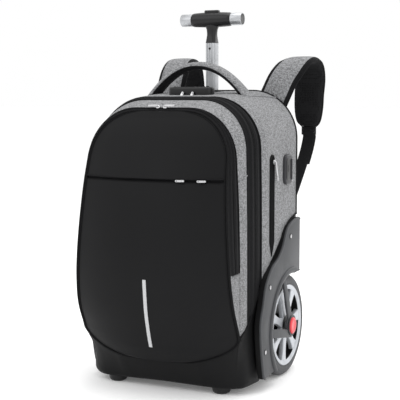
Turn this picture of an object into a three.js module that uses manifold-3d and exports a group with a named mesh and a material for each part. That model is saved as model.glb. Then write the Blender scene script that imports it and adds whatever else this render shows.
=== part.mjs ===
// Wheeled backpack: a hollow cloth bag on a moulded base, with two large side wheels under
// plastic fenders, front feet, a telescopic T handle, a carry handle and two shoulder straps.
// Millimetres, +Z up, the front of the bag faces -Y, the ground is Z = 0.
import * as THREE from "three";
import { mergeVertices } from "three/addons/utils/BufferGeometryUtils.js";
import Module from "manifold-3d";

const wasm = await Module();
wasm.setup();

// Walls and gaps
const seam = 0.3; // gap between neighbouring pieces
const cloth = 2.2; // sewn cloth wall
const moulding = 2.8; // moulded plastic wall
const tubeWall = 1.2; // wall of the handle tubes
const slideGap = 0.5; // running clearance round a handle tube
const spinGap = 0.6; // running clearance round a wheel's axle

// Wheels
const wheelRadius = 90;
const wheelWidth = 26;
const tyreDepth = 18; // radial depth of the tyre
const tyreShoulder = 6;
const rimBand = 8; // radial depth of the rim's ring
const spokeCount = 7;
const spokeWidth = 13;
const spokeThickness = 9;
const hubRadius = 19;
const axleRadius = 5;
const wheelClearance = 3; // round the tyre, under the fender
const plateClearance = 4.6; // between the tyre's side and the fender's plate

// The bag's body
const halfWidth = 155; // at the back edge
const bagTop = 505;
const backY = 76; // back edge of the sewn body
const shoulderRadius = 85; // rounding of the top corners
const groundGap = 12; // floor of the base above the ground
const mainDepth = 158; // back edge to the main zip
const mainZipWidth = 48;
const gussetWidth = 28; // grey gusset of the front compartment
const topFall = 12; // drop of the top from the back edge to the main zip
const wellInset = 37; // how far the base steps in beside a wheel
const axisShare = 43 / 158; // wheel's axis in front of the back edge, as a share of mainDepth
const wheelAxisY = backY - mainDepth * axisShare;
const mainZipTaper = 4; // how much narrower the bag is at the main zip, on a side
const gussetTaper = 8; // at the gusset
const frontZipTaper = 12; // and at the front zip
const mainZipLean = 2; // how much further the shoulders draw in there
const gussetLean = 7;
const frontZipLean = 8;

// The front panel
const panelHalfWidth = 147; // widest, low down
const panelTop = 473;
const panelBottom = 54;
const panelCorner = 46; // height of its rounded lower corners
const panelCornerReach = 95; // their width
const panelTopRadius = 85;
const frontZipWidth = 32; // front zip to the panel's edge at the widest bulge
const frontZipStep = 2.5; // front zip above the panel's top edge
const spokeLead = 160; // angle of the first spoke above the wheel's back, in degrees
const panelBulge = 26; // crown in front of the edge
const pocketZipHeight = 361;
const pocketSlot = 5; // height of the pocket's zip slot
const flapProud = 3; // how far the upper panel stands in front of the lower
const frontZipEnd = 210; // height where the front zip stops
const zipEndStep = 2; // height over which its end is cut
const panelSetback = mainDepth + mainZipWidth + gussetWidth + frontZipWidth - backY;
const stripWidth = 7;
const stripTop = 198;
const stripBottom = 82;

// Base and feet
const baseHalfWidth = 150;
const baseFrontY = panelSetback - 44; // front of the base at the floor
const baseCorner = 42; // plan rounding of the front corners
const baseRecess = 3; // rim of the base behind the panel's edge
const backPlateTop = 60;
const footSpacing = 99; // half the distance between the feet
const footFrontY = baseFrontY - 20;
const footRadius = 16;

// Fenders
const fenderPlate = 3;
const fenderRim = 2.5;
const linerWall = 2.2;
const bossRadius = 19;
const bossThickness = 2.4;
const capRadius = 14.5;
const capThickness = 2.4;
const rivetRadius = 3.6;
const rivetProud = 1.2;
const upperArmWidth = 18;
const lowerArmWidth = 16;

// Telescopic handle
const tubeX = 18;
const tubeY = 22;
const tubeCorner = 4;
const poleY = 52;
const gripHeight = 633; // axis of the grip as shown
const gripHalfLength = 60;
const barrelHalfLength = 38;
const gripTubeRadius = 11;
const barrelRadius = 13.5;
const neckLength = 42; // grip axis down to the tube's end
const upperTubeLength = 395;
const middleTubeLength = 392;
const collarProud = 3;
const collarFlange = 5;
const buttonHalfLength = 14;
const buttonWidth = 12;
const buttonProud = 3.5;
const buttonTravel = 2.5;
const pinHoleRadius = 2;
const pinDrop = 10;

// Carry handle
const handleSpan = 95; // half the distance between its feet
const handleRise = 55; // centre line above the feet
const handleFootZ = 494;
const handleSunk = 6; // its feet before the bag's top trims them
const handleWidth = 29;
const handleThickness = 14;
const handleY = -3;

// Shoulder straps
const strapWidth = 54;
const strapThickness = 14;
const strapTopZ = 560; // centre line at the top of the loop
const strapReach = 102; // centre line behind the bag's back edge
const strapLength = 120; // strap's end below the top of its loop
const webWidth = 22;
const webThickness = 2;
const webAnchorZ = 292;
const anchorAcross = 0.88; // its lower end's place, as a share of the half width
const tailSlack = 3; // how far its loose end stands off
const buckleHeight = 16;
const buckleThickness = 5;

// Back pad
const padThickness = 9;
const padProud = 2.5;

// Lock, zips and port
const lockLength = 82;
const lockDepth = 26;
const lockTop = 511;
const lockSunk = 20; // depth of its blank below its top
const lockY = -34;
const pullWidth = 8;
const pullLength = 17;
const pullThickness = 2;
const sidePullLength = 40;
const sidePocketY = -44;
const sidePocketTop = 396;
const sidePocketBottom = 224;
const sidePocketWidth = 18;
const sidePocketProud = 1.2;
const portY = 24;
const portZ = 368;
const portWidth = 36;
const portHeight = 52;
const portProud = 8;

// Finishes: colour, roughness, metalness
const finish = {
  melange: [0x8f9092, 0.95, 0],
  blackCloth: [0x19191b, 0.9, 0],
  coated: [0x28282b, 0.55, 0],
  basePlastic: [0x1d1d1f, 0.6, 0],
  fenderPlastic: [0x505256, 0.5, 0],
  rubber: [0x55565a, 0.85, 0],
  silver: [0xd4d6da, 0.35, 0.6],
  red: [0xe8505a, 0.4, 0],
  gloss: [0x121214, 0.35, 0],
};

const bag = new THREE.Group();

function place(name, geometry, look) {
  const [color, roughness, metalness] = finish[look];
  const mesh = new THREE.Mesh(geometry, new THREE.MeshStandardMaterial({ color, roughness, metalness }));
  mesh.name = name;
  bag.add(mesh);
  return mesh;
}

const sides = [
  { name: "right", sign: 1 },
  { name: "left", sign: -1 },
];
const lerp = THREE.MathUtils.lerp;
const at = (x, y, z) => new THREE.Vector3(x, y, z);

// Value of a table column at a height, straight between its rows
function column(table, key, value, wanted) {
  const last = table.length - 1;
  if (value <= table[0][key]) return table[0][wanted];
  if (value >= table[last][key]) return table[last][wanted];
  const k = table.findIndex((row) => row[key] > value);
  const [a, b] = [table[k - 1], table[k]];
  return lerp(a[wanted], b[wanted], (value - a[key]) / (b[key] - a[key]));
}

function volumeOf(geometry) {
  const p = geometry.getAttribute("position");
  const index = geometry.index.array;
  let six = 0;
  for (let k = 0; k < index.length; k += 3) {
    const [a, b, c] = [0, 1, 2].map((n) => new THREE.Vector3().fromBufferAttribute(p, index[k + n]));
    six += a.dot(b.cross(c));
  }
  return six / 6;
}

// Closed geometry from points and triangles, turned outwards
function closed(points, faces) {
  const geometry = new THREE.BufferGeometry();
  geometry.setAttribute("position", new THREE.Float32BufferAttribute(points.flatMap((p) => p.toArray()), 3));
  geometry.setIndex(faces);
  const merged = mergeVertices(geometry, 1e-4);
  if (volumeOf(merged) < 0) {
    const index = merged.index.array;
    for (let k = 0; k < index.length; k += 3) [index[k + 1], index[k + 2]] = [index[k + 2], index[k + 1]];
  }
  merged.computeVertexNormals();
  return merged;
}

// Turns a closed geometry into a manifold solid, and back
function solid(geometry) {
  const bare = new THREE.BufferGeometry();
  bare.setAttribute("position", geometry.getAttribute("position"));
  if (geometry.index) bare.setIndex(geometry.index);
  const merged = mergeVertices(bare, 1e-4);
  const vertProperties = new Float32Array(merged.getAttribute("position").array);
  const triVerts = new Uint32Array(merged.index.array);
  return new wasm.Manifold(new wasm.Mesh({ numProp: 3, vertProperties, triVerts }));
}

function geometryOf(manifold) {
  const mesh = manifold.getMesh();
  const geometry = new THREE.BufferGeometry();
  geometry.setAttribute("position", new THREE.Float32BufferAttribute(mesh.vertProperties, 3));
  geometry.setIndex(Array.from(mesh.triVerts));
  geometry.computeVertexNormals();
  return geometry;
}

const joined = (...parts) => parts.map(solid).reduce((sum, part) => sum.add(part));

// Outward normal at each node of a grid of rows, from its neighbours
function gridNormals(grid) {
  return grid.map((row, r) =>
    row.map((_, c) => {
      const up = grid[Math.min(r + 1, grid.length - 1)][c];
      const down = grid[Math.max(r - 1, 0)][c];
      const right = row[Math.min(c + 1, row.length - 1)];
      const left = row[Math.max(c - 1, 0)];
      return right.clone().sub(left).cross(up.clone().sub(down)).normalize();
    })
  );
}

const shifted = (grid, normals, by) =>
  grid.map((row, r) => row.map((p, c) => p.clone().addScaledVector(normals[r][c], by)));

// A wall of even thickness behind a grid of outer points, closed round its four edges
function wall(grid, normals, thickness) {
  const rows = grid.length;
  const cols = grid[0].length;
  const inner = shifted(grid, normals, -thickness);
  const faces = [];
  const quad = (a, b, c, d) => faces.push(a, b, c, a, c, d);
  const o = (r, c) => r * cols + c;
  const i = (r, c) => rows * cols + o(r, c);
  for (let r = 0; r < rows - 1; r++) {
    for (let c = 0; c < cols - 1; c++) {
      quad(o(r, c), o(r, c + 1), o(r + 1, c + 1), o(r + 1, c));
      quad(i(r, c), i(r + 1, c), i(r + 1, c + 1), i(r, c + 1));
    }
    quad(o(r, 0), o(r + 1, 0), i(r + 1, 0), i(r, 0));
    quad(o(r, cols - 1), i(r, cols - 1), i(r + 1, cols - 1), o(r + 1, cols - 1));
  }
  for (let c = 0; c < cols - 1; c++) {
    quad(o(0, c), i(0, c), i(0, c + 1), o(0, c + 1));
    quad(o(rows - 1, c), o(rows - 1, c + 1), i(rows - 1, c + 1), i(rows - 1, c));
  }
  return closed([...grid.flat(), ...inner.flat()], faces);
}

// A solid through closed rings of points, with flat ends
function loft(rings) {
  const n = rings[0].length;
  const points = rings.flat();
  const faces = [];
  for (let r = 0; r < rings.length - 1; r++) {
    for (let c = 0; c < n; c++) {
      const d = (c + 1) % n;
      faces.push(r * n + c, r * n + d, (r + 1) * n + d, r * n + c, (r + 1) * n + d, (r + 1) * n + c);
    }
  }
  for (const first of [0, (rings.length - 1) * n]) {
    const ring = points.slice(first, first + n);
    points.push(ring.reduce((sum, p) => sum.add(p), at(0, 0, 0)).divideScalar(n));
    for (let c = 0; c < n; c++) {
      const d = (c + 1) % n;
      faces.push(first ? first + c : first + d, first ? first + d : first + c, points.length - 1);
    }
  }
  return closed(points, faces);
}

function extrude(shape, depth, curveSegments = 4) {
  return new THREE.ExtrudeGeometry(shape, { depth, bevelEnabled: false, curveSegments });
}

// Puts a shape drawn in (Y, Z) at an X, growing towards +X
const alongX = new THREE.Matrix4().makeBasis(at(0, 1, 0), at(0, 0, 1), at(1, 0, 0));
function plateX(shape, x, depth, curveSegments) {
  return extrude(shape, depth, curveSegments).applyMatrix4(alongX).translate(x, 0, 0);
}

// The same for a shape drawn in (X, Z), growing towards -Y from a Y
const alongY = new THREE.Matrix4().makeBasis(at(1, 0, 0), at(0, 0, 1), at(0, -1, 0));
function plateY(shape, y, depth, curveSegments) {
  return extrude(shape, depth, curveSegments).applyMatrix4(alongY).translate(0, y, 0);
}

function roundedRect(width, height, radius) {
  const shape = new THREE.Shape();
  const [w, h] = [width / 2, height / 2];
  shape.absarc(w - radius, h - radius, radius, 0, Math.PI / 2);
  shape.absarc(radius - w, h - radius, radius, Math.PI / 2, Math.PI);
  shape.absarc(radius - w, radius - h, radius, Math.PI, 1.5 * Math.PI);
  shape.absarc(w - radius, radius - h, radius, 1.5 * Math.PI, 2 * Math.PI);
  shape.closePath();
  return shape;
}

// A round bar or disc along X, from one X to another
function barX(radius, from, to, y, z, segments = 20) {
  const bar = new THREE.CylinderGeometry(radius, radius, to - from, segments);
  return bar.rotateZ(Math.PI / 2).translate((from + to) / 2, y, z);
}

const mirrorX = (geometry, sign) => {
  if (sign > 0) return geometry;
  const copy = geometry.clone().scale(-1, 1, 1);
  const count = copy.getAttribute("position").count;
  const index = copy.index ? Array.from(copy.index.array) : Array.from({ length: count }, (_, k) => k);
  for (let k = 0; k < index.length; k += 3) [index[k + 1], index[k + 2]] = [index[k + 2], index[k + 1]];
  copy.setIndex(index);
  return copy;
};

// The panel's edge and crown by height, as shares of its half width, setback and bulge
const panelRows = [
  { up: 0, half: 0.985, edge: 0.895, crown: 0.05 },
  { up: 0.03, half: 0.987, edge: 0.86, crown: 0.85 },
  { up: 0.07, half: 0.99, edge: 0.83, crown: 1.3 },
  { up: 0.11, half: 0.998, edge: 0.828, crown: 1.55 },
  { up: 0.16, half: 1, edge: 0.89, crown: 1.3 },
  { up: 0.205, half: 0.996, edge: 0.937, crown: 1.15 },
  { up: 0.25, half: 0.988, edge: 0.968, crown: 1.02 },
  { up: 0.35, half: 0.97, edge: 1, crown: 0.95 },
  { up: 0.45, half: 0.953, edge: 1, crown: 0.92 },
  { up: 0.55, half: 0.932, edge: 0.989, crown: 0.85 },
  { up: 0.65, half: 0.912, edge: 0.965, crown: 0.78 },
  { up: 0.73, half: 0.896, edge: 0.938, crown: 0.7 },
  { up: 0.83, half: 0.88, edge: 0.88, crown: 0.6 },
  { up: 0.92, half: 0.87, edge: 0.845, crown: 0.35 },
  { up: 1, half: 0.86, edge: 0.79, crown: 0 },
];
const cornerPower = 1.6;
const crownPower = 2.6;
const upShare = (z) => (z - panelBottom) / (panelTop - panelBottom);
const panelEdgeHalf = (z) => panelHalfWidth * column(panelRows, "up", upShare(z), "half");
const panelEdgeY = (z) => -panelSetback * column(panelRows, "up", upShare(z), "edge");
const panelTopCentre = panelTop - panelTopRadius;
const panelLow = panelBottom + panelCorner;

// Places on the panel's outline round its top and bottom corners, drawn in by an inset
const shoulderPoint = (turn, inset) => ({
  half: panelEdgeHalf(panelTopCentre) - panelTopRadius + (panelTopRadius - inset) * Math.cos(turn),
  z: panelTopCentre + (panelTopRadius - inset) * Math.sin(turn),
});
const cornerPoint = (turn, inset) => {
  const across = (panelCornerReach - inset) * Math.cos(turn) ** (2 / cornerPower);
  const down = (panelCorner - inset) * Math.sin(turn) ** (2 / cornerPower);
  return { half: panelEdgeHalf(panelLow) - panelCornerReach + across, z: panelLow - down };
};
const turnsTo = (end, steps) => Array.from({ length: steps + 1 }, (_, k) => (end * k) / steps);
const quarter = Math.PI / 2;

// Front face of the panel at a place: its edge, crowned towards the middle
function panelY(x, z, half = panelEdgeHalf(z)) {
  const across = Math.min(1, Math.abs(x) / half);
  const rise = column(panelRows, "up", upShare(z), "crown");
  return panelEdgeY(z) - panelBulge * rise * (1 - across ** crownPower);
}

// Line where the grey cloth meets the black side border, as shares of the body's depth and height
const borderRows = [
  { back: 0, up: 0.567 },
  { back: 0.24, up: 0.55 },
  { back: 0.35, up: 0.53 },
  { back: 0.5, up: 0.49 },
  { back: 0.7, up: 0.44 },
  { back: 0.88, up: 0.4 },
  { back: 1, up: 0.36 },
  { back: 1.14, up: 0.305 },
  { back: 1.3, up: 0.238 },
  { back: 1.42, up: 0.212 },
  { back: 1.475, up: 0.198 },
];
const borderZ = (y) => bagTop * column(borderRows, "back", (backY - y) / mainDepth, "up");

// Rings of the bag from its back edge to the front zip: half width, how much narrower it is at
// the shoulder, top, and the place of its side, shoulder and top
const mainZipY = backY - mainDepth;
const gussetY = mainZipY - mainZipWidth;
const frontZipY = gussetY - gussetWidth;
const linerRadius = wheelRadius + wheelClearance;
const wellFrontY = wheelAxisY - linerRadius - linerWall - wheelClearance;
const wellTop = wheelRadius + linerRadius + linerWall + 2 * seam;
const evenRing = (half, y) => {
  const top = bagTop - (topFall * (backY - y)) / mainDepth;
  return { half, lean: 0, top, sideY: y, shoulderY: y, topY: y };
};
const rings = [
  evenRing(halfWidth, backY),
  evenRing(halfWidth, lerp(backY, wellFrontY, 0.34)),
  evenRing(halfWidth - mainZipTaper * 0.25, lerp(backY, wellFrontY, 0.67)),
  evenRing(halfWidth - mainZipTaper * 0.5, wellFrontY),
  evenRing(halfWidth - mainZipTaper * 0.75, lerp(wellFrontY, mainZipY, 1 / 3)),
  { ...evenRing(halfWidth - mainZipTaper, mainZipY), lean: mainZipLean },
  {
    half: halfWidth - gussetTaper,
    lean: gussetLean,
    top: bagTop - topFall * 1.35,
    sideY: gussetY,
    shoulderY: gussetY + mainZipWidth * 0.22,
    topY: gussetY + mainZipWidth * 0.48,
  },
  {
    half: halfWidth - frontZipTaper,
    lean: frontZipLean,
    top: panelTop + frontZipStep,
    sideY: frontZipY + gussetWidth * 0.15,
    shoulderY: frontZipY + gussetWidth * 0.28,
    topY: gussetY - gussetWidth * 0.57,
  },
];
const ringIndex = { back: 0, mainZip: 5, gusset: 6, frontZip: 7, panel: 8 };
const sidePoints = 5;
const arcPoints = 7;
const frontZipColumn = 2;

// Heights of the points on a ring's side, from the border up to its shoulder
function sideHeights(low, sideTop, splitAtZip) {
  const heights = splitAtZip ? [low, frontZipEnd - zipEndStep / 2, frontZipEnd + zipEndStep / 2] : [low];
  const start = heights[heights.length - 1];
  const missing = sidePoints - heights.length + 1;
  for (let k = 1; k <= missing; k++) heights.push(lerp(start, sideTop, k / missing));
  return heights;
}

// Right half of a ring's outline from the border up to the top's middle
function halfRing(ring) {
  const sideTop = ring.top - shoulderRadius;
  const low = borderZ(ring.sideY);
  const points = sideHeights(low, sideTop, ring.sideY < mainZipY).map((z) => {
    const share = Math.max(0, (z - low) / (sideTop - low)) ** 3;
    return at(ring.half - ring.lean * share, lerp(ring.sideY, ring.shoulderY, share), z);
  });
  const flat = ring.half - ring.lean - shoulderRadius;
  for (let k = 1; k <= arcPoints; k++) {
    const turn = (k / arcPoints) * quarter;
    const y = lerp(ring.shoulderY, ring.topY, Math.sin(turn) ** 1.5);
    points.push(at(flat + shoulderRadius * Math.cos(turn), y, sideTop + shoulderRadius * Math.sin(turn)));
  }
  points.push(at(flat / 2, ring.topY, ring.top), at(0, ring.topY, ring.top));
  return points;
}

// The same for the panel's edge
function halfPanelRing() {
  const sides = sideHeights(panelLow, panelTopCentre, true).map((z) => ({ half: panelEdgeHalf(z), z }));
  const shoulders = turnsTo(quarter, arcPoints).slice(1).map((turn) => shoulderPoint(turn, 0));
  const flat = shoulders[arcPoints - 1].half;
  const top = [flat / 2, 0].map((half) => ({ half, z: panelTop }));
  return [...sides, ...shoulders, ...top].map(({ half, z }) => at(half, panelEdgeY(z), z));
}

// Completes a right half by its mirror image
function mirrored(half) {
  const left = half
    .slice(0, -1)
    .reverse()
    .map((p) => at(-p.x, p.y, p.z));
  return [...half, ...left];
}

const hide = [...rings.map((ring) => mirrored(halfRing(ring))), mirrored(halfPanelRing())];
const hideNormals = gridNormals(hide);

// Cuts a band from the hide between rings, with half a seam trimmed from each side
function band(rows, fromColumn = 0) {
  const columns = rows[0].points.length;
  const picked = rows.map((row) => row.points.slice(fromColumn, columns - fromColumn));
  const normals = rows.map((row) => row.normals.slice(fromColumn, columns - fromColumn));
  const trimmed = picked.map((row) => row.map((p) => p.clone()));
  const step = (from, to) => to.clone().sub(from).normalize().multiplyScalar(seam / 2);
  const last = picked.length - 1;
  const end = picked[0].length - 1;
  picked[0].forEach((p, c) => {
    trimmed[0][c].add(step(p, picked[1][c]));
    trimmed[last][c].add(step(picked[last][c], picked[last - 1][c]));
  });
  picked.forEach((row, r) => {
    trimmed[r][0].add(step(row[0], row[1]));
    trimmed[r][end].add(step(row[end], row[end - 1]));
  });
  return wall(trimmed, normals, cloth);
}

const ringRow = (k) => ({ points: hide[k], normals: hideNormals[k] });
const ringRows = (from, to) => Array.from({ length: to - from + 1 }, (_, k) => ringRow(from + k));

// A thick solid just outside the hide's skin, which trims what is seated on the bag
const guardDepth = 22;
const coveredRings = rings.length - 1;
const coveredNormals = hideNormals.slice(0, coveredRings);
const coveredHide = shifted(hide.slice(0, coveredRings), coveredNormals, seam);
const hideGuard = solid(wall(coveredHide, coveredNormals, guardDepth));
const seated = (geometry) => geometryOf(solid(geometry).subtract(hideGuard));

// Hole in the body's top for the handle's collar
const middleX = tubeX + 2 * (slideGap + tubeWall);
const middleY = tubeY + 2 * (slideGap + tubeWall);
const sleeveX = middleX + 2 * (slideGap + tubeWall);
const sleeveY = middleY + 2 * (slideGap + tubeWall);
const topAtPole = bagTop - (topFall * (backY - poleY)) / mainDepth;
const collarHole = new THREE.BoxGeometry(sleeveX + 2 * seam, sleeveY + 2 * seam, 6 * moulding);
collarHole.translate(0, poleY, topAtPole);

place(
  "body_shell",
  geometryOf(solid(band(ringRows(ringIndex.back, ringIndex.mainZip))).subtract(solid(collarHole))),
  "melange"
);
place("main_zip_band", band(ringRows(ringIndex.mainZip, ringIndex.gusset)), "blackCloth");

// The gusset reaches the panel's edge below the front zip, and stops at the zip above it
function gussetFront() {
  const zip = ringRow(ringIndex.frontZip);
  const edge = ringRow(ringIndex.panel);
  const end = zip.points.length - 1;
  const low = (c) => Math.min(c, end - c) < frontZipColumn;
  return {
    points: zip.points.map((p, c) => (low(c) ? edge.points[c] : p)),
    normals: zip.normals.map((n, c) => (low(c) ? edge.normals[c] : n)),
  };
}
place("front_gusset", band([ringRow(ringIndex.gusset), gussetFront()]), "melange");
place("front_zip_band", band(ringRows(ringIndex.frontZip, ringIndex.panel), frontZipColumn), "blackCloth");

// Front panel: an upper flap over the pocket's zip, and a lower panel
const sheetHalfColumns = 6;
const panelInset = cloth + 1.5 * seam;
function panelSheet(rows, proud) {
  const grid = rows.map(({ half, z }) => {
    const row = [];
    for (let c = -sheetHalfColumns; c <= sheetHalfColumns; c++) {
      const x = half * Math.sin((c / sheetHalfColumns) * quarter);
      row.push(at(x, panelY(x, z, half) - proud * (1 - (x / half) ** 4), z));
    }
    return row;
  });
  return wall(grid, gridNormals(grid), cloth);
}
const slotLow = pocketZipHeight - pocketSlot / 2;
const slotHigh = pocketZipHeight + pocketSlot / 2;
const straightRow = (z) => ({ half: panelEdgeHalf(z) - panelInset, z });
const cornerSteps = 6;
const straightSteps = 7;
const shoulderRows = turnsTo(quarter, arcPoints).map((turn) => shoulderPoint(turn, panelInset));
const upperRows = [straightRow(slotHigh), ...shoulderRows];
const lowerRows = [
  ...turnsTo(quarter, cornerSteps).reverse().map((turn) => cornerPoint(turn, panelInset)),
  ...turnsTo(1, straightSteps).slice(1).map((share) => straightRow(lerp(panelLow, slotLow, share))),
];
place("front_panel_upper", panelSheet(upperRows, flapProud), "coated");
place("front_panel_lower", panelSheet(lowerRows, 0), "coated");

// Zip tape behind the pocket's slot
function pocketZip() {
  const grid = [slotLow - pocketSlot, pocketZipHeight, slotHigh + pocketSlot].map((z) => {
    const half = panelEdgeHalf(z) - 3 * cloth;
    const row = [];
    for (let c = -sheetHalfColumns; c <= sheetHalfColumns; c++) {
      const x = (half * c) / sheetHalfColumns;
      row.push(at(x, panelY(x, z, half + cloth) + cloth + 4 * seam, z));
    }
    return row;
  });
  return wall(grid, gridNormals(grid), cloth / 2);
}
place("pocket_zip", pocketZip(), "blackCloth");

// Reflective strip on the lower panel
const stripSteps = 6;
function strip() {
  const grid = [];
  for (let r = 0; r <= stripSteps; r++) {
    const z = lerp(stripBottom, stripTop, r / stripSteps);
    grid.push([-0.5, 0.5].map((side) => at(side * stripWidth, panelY(0, z) - 1 - 3 * seam, z)));
  }
  return wall(grid, gridNormals(grid), 1);
}
place("reflective_strip", strip(), "silver");

// Moulded base: side walls that step in beside the wheels, a rounded front and a floor
const wellHalf = halfWidth - wellInset;
const cornerCentreX = baseHalfWidth - baseCorner;
const cornerCentreY = baseFrontY - baseCorner;
const sideColumns = [0, 1, 2, 3, 4, 5, 6, ringIndex.panel];
const planTurns = { [ringIndex.gusset]: 0.5, [ringIndex.panel]: 0.9 };
const wallShares = [0, 0.03, 0.1, 0.25, 0.5, 0.75, 1];
const ledge = 4; // row of the wall at the well's top
const ledgeStep = 2;
const floorEdge = 6;
const rimGap = 2 * seam; // between the panel and the base's rim
const sideUpright = 2.4; // power of the wall's lean: high keeps the lower wall upright
const frontUpright = 0.8;

// Plan of the base's lower wall at a turn round its front corner
const planCorner = (turn) =>
  at(cornerCentreX + baseCorner * Math.cos(turn), -cornerCentreY - baseCorner * Math.sin(turn), 0);

function baseColumn(plan, rim, well, upright) {
  return wallShares.map((share, k) => {
    const tuck = floorEdge * (1 - Math.min(1, k / 2)) ** 2;
    const inward = at(-Math.sign(plan.x), 0, 0).multiplyScalar(plan.x ? tuck : 0);
    if (plan.y < -cornerCentreY) inward.set(-plan.x, -cornerCentreY - plan.y, 0).setLength(tuck);
    if (well) {
      const climb = lerp(groundGap, wellTop, Math.min(1, share / wallShares[ledge]));
      if (k <= ledge) return at(wellHalf, rim.y, climb).add(inward);
      return at(rim.x, rim.y, k === ledge + 1 ? wellTop + ledgeStep : rim.z);
    }
    const lean = share ** upright;
    const z = lerp(groundGap, rim.z, share);
    return at(lerp(plan.x, rim.x, lean), lerp(plan.y, rim.y, lean), z).add(inward);
  });
}

function baseHalf() {
  const down = at(0, 0, -rimGap);
  const columns = sideColumns.map((k) => {
    const rim = hide[k][0].clone().add(down);
    const turn = planTurns[k];
    const plan = turn ? planCorner(turn) : at(baseHalfWidth, rim.y, 0);
    return baseColumn(plan, rim, k <= 3, sideUpright);
  });
  const rims = turnsTo(quarter, cornerSteps).slice(1).map((turn) => cornerPoint(turn, 0));
  rims.push({ half: 0, z: panelBottom });
  rims.forEach(({ half, z }, k) => {
    const share = (k + 1) / rims.length;
    const drop = (panelLow - z) / panelCorner;
    const rim = at(half, panelEdgeY(z) + baseRecess * drop, z - rimGap);
    const plan = planCorner(lerp(planTurns[ringIndex.panel], quarter, Math.min(1, share * 1.8)));
    plan.x = Math.min(plan.x, half);
    columns.push(baseColumn(plan, rim, false, lerp(sideUpright, frontUpright, share)));
  });
  return columns;
}

function baseGrid() {
  const half = baseHalf();
  const left = half
    .slice(0, -1)
    .reverse()
    .map((rows) => rows.map((p) => at(-p.x, p.y, p.z)));
  const columns = [...half, ...left];
  return wallShares.map((_, r) => columns.map((rows) => rows[r]));
}

const base = baseGrid();
const baseNormals = gridNormals(base).map((row) => row.map((n) => n.negate()));

function floorPlate() {
  const outline = new THREE.Shape(base[0].map((p) => new THREE.Vector2(p.x * 0.995, p.y * 0.995)));
  return extrude(outline, moulding).translate(0, 0, groundGap + seam);
}

function backPlate() {
  const low = groundGap + seam;
  const plate = new THREE.BoxGeometry(2 * wellHalf - moulding, moulding, backPlateTop - low);
  return plate.translate(0, backY - moulding / 2 - seam, (backPlateTop + low) / 2);
}
const floorTop = groundGap + seam + moulding;
const baseShell = joined(wall(base, baseNormals, moulding), floorPlate(), backPlate());
place("base_shell", geometryOf(baseShell), "basePlastic");

// Padded back panel, inside the body's back edge
function backPad() {
  const padRadius = shoulderRadius - cloth - 4 * seam;
  const low = wellHalf - moulding - 2 * seam;
  const notch = wellTop + 2 * moulding;
  const side = halfWidth - moulding - 2 * seam;
  const arcCentreX = halfWidth - shoulderRadius;
  const arcCentreZ = bagTop - shoulderRadius;
  const shape = new THREE.Shape();
  shape.moveTo(-low, backPlateTop + seam);
  shape.lineTo(low, backPlateTop + seam);
  shape.lineTo(low, notch);
  shape.lineTo(side, notch);
  shape.lineTo(side, arcCentreZ);
  shape.absarc(arcCentreX, arcCentreZ, padRadius, 0, quarter);
  shape.absarc(-arcCentreX, arcCentreZ, padRadius, quarter, Math.PI);
  shape.lineTo(-side, notch);
  shape.lineTo(-low, notch);
  shape.closePath();
  return plateY(shape, backY + padProud, padThickness, 8);
}
place("back_pad", backPad(), "blackCloth");

// Fenders: a plate with a rim, an arch over the wheel and two arms to the hub
const tyreOuterX = halfWidth + 1;
const plateInnerX = tyreOuterX + plateClearance;
const fenderX = plateInnerX + fenderPlate;

// Outer edge of the fender, as shares of the wheel's radius from the wheel's axis
const fenderEdge = [
  { back: 0.47, up: 2.1 },
  { back: 0.3, up: 2.12 },
  { back: -0.1, up: 2.03 },
  { back: -0.3, up: 1.89 },
  { back: -0.47, up: 1.64 },
  { back: -0.7, up: 1.45 },
  { back: -1, up: 1.32 },
  { back: -1.26, up: 1.11 },
  { back: -1.39, up: 0.93 },
  { back: -1.49, up: 0.64 },
  { back: -1.61, up: 0.32 },
  { back: -1.58, up: -0.14 },
  { back: -1.45, up: -0.7 },
  { back: -1.38, up: -0.76 },
];
const archStart = Math.PI * 0.44;
const archEnd = Math.PI * 1.235;

// Outline of the fender's plate in (Y, Z), drawn in by an inset
function fenderOutline(inset) {
  const shape = new THREE.Shape();
  const backEdge = backY - 1 - inset;
  const reach = wheelRadius - inset * 0.7;
  const edge = fenderEdge.map(({ back, up }) => new THREE.Vector2(back, up).multiplyScalar(reach));
  const arch = linerRadius + linerWall / 2 + inset;
  const lip = wheelRadius + arch * Math.sin(archStart);
  shape.moveTo(backEdge, lip);
  shape.lineTo(backEdge, wheelRadius + edge[0].y - inset);
  edge.forEach((p) => shape.lineTo(Math.min(wheelAxisY + p.x, backEdge), wheelRadius + p.y));
  shape.absarc(wheelAxisY, wheelRadius, arch, archEnd, archStart, true);
  shape.closePath();
  return shape;
}

function archLiner() {
  const shape = new THREE.Shape();
  shape.absarc(wheelAxisY, wheelRadius, linerRadius + linerWall, archStart, archEnd);
  shape.absarc(wheelAxisY, wheelRadius, linerRadius, archEnd, archStart, true);
  shape.closePath();
  const inner = wellHalf + 2 * seam;
  return plateX(shape, inner, fenderX - inner, 10);
}

// Bar in the plate's plane between two places in (Y, Z)
function armBar(from, to, width) {
  const along = to.clone().sub(from);
  const length = along.length();
  const bar = new THREE.BoxGeometry(fenderPlate, length, width);
  bar.rotateX(Math.atan2(along.y, along.x));
  return bar.translate(plateInnerX + fenderPlate / 2, (from.x + to.x) / 2, (from.y + to.y) / 2);
}

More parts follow.
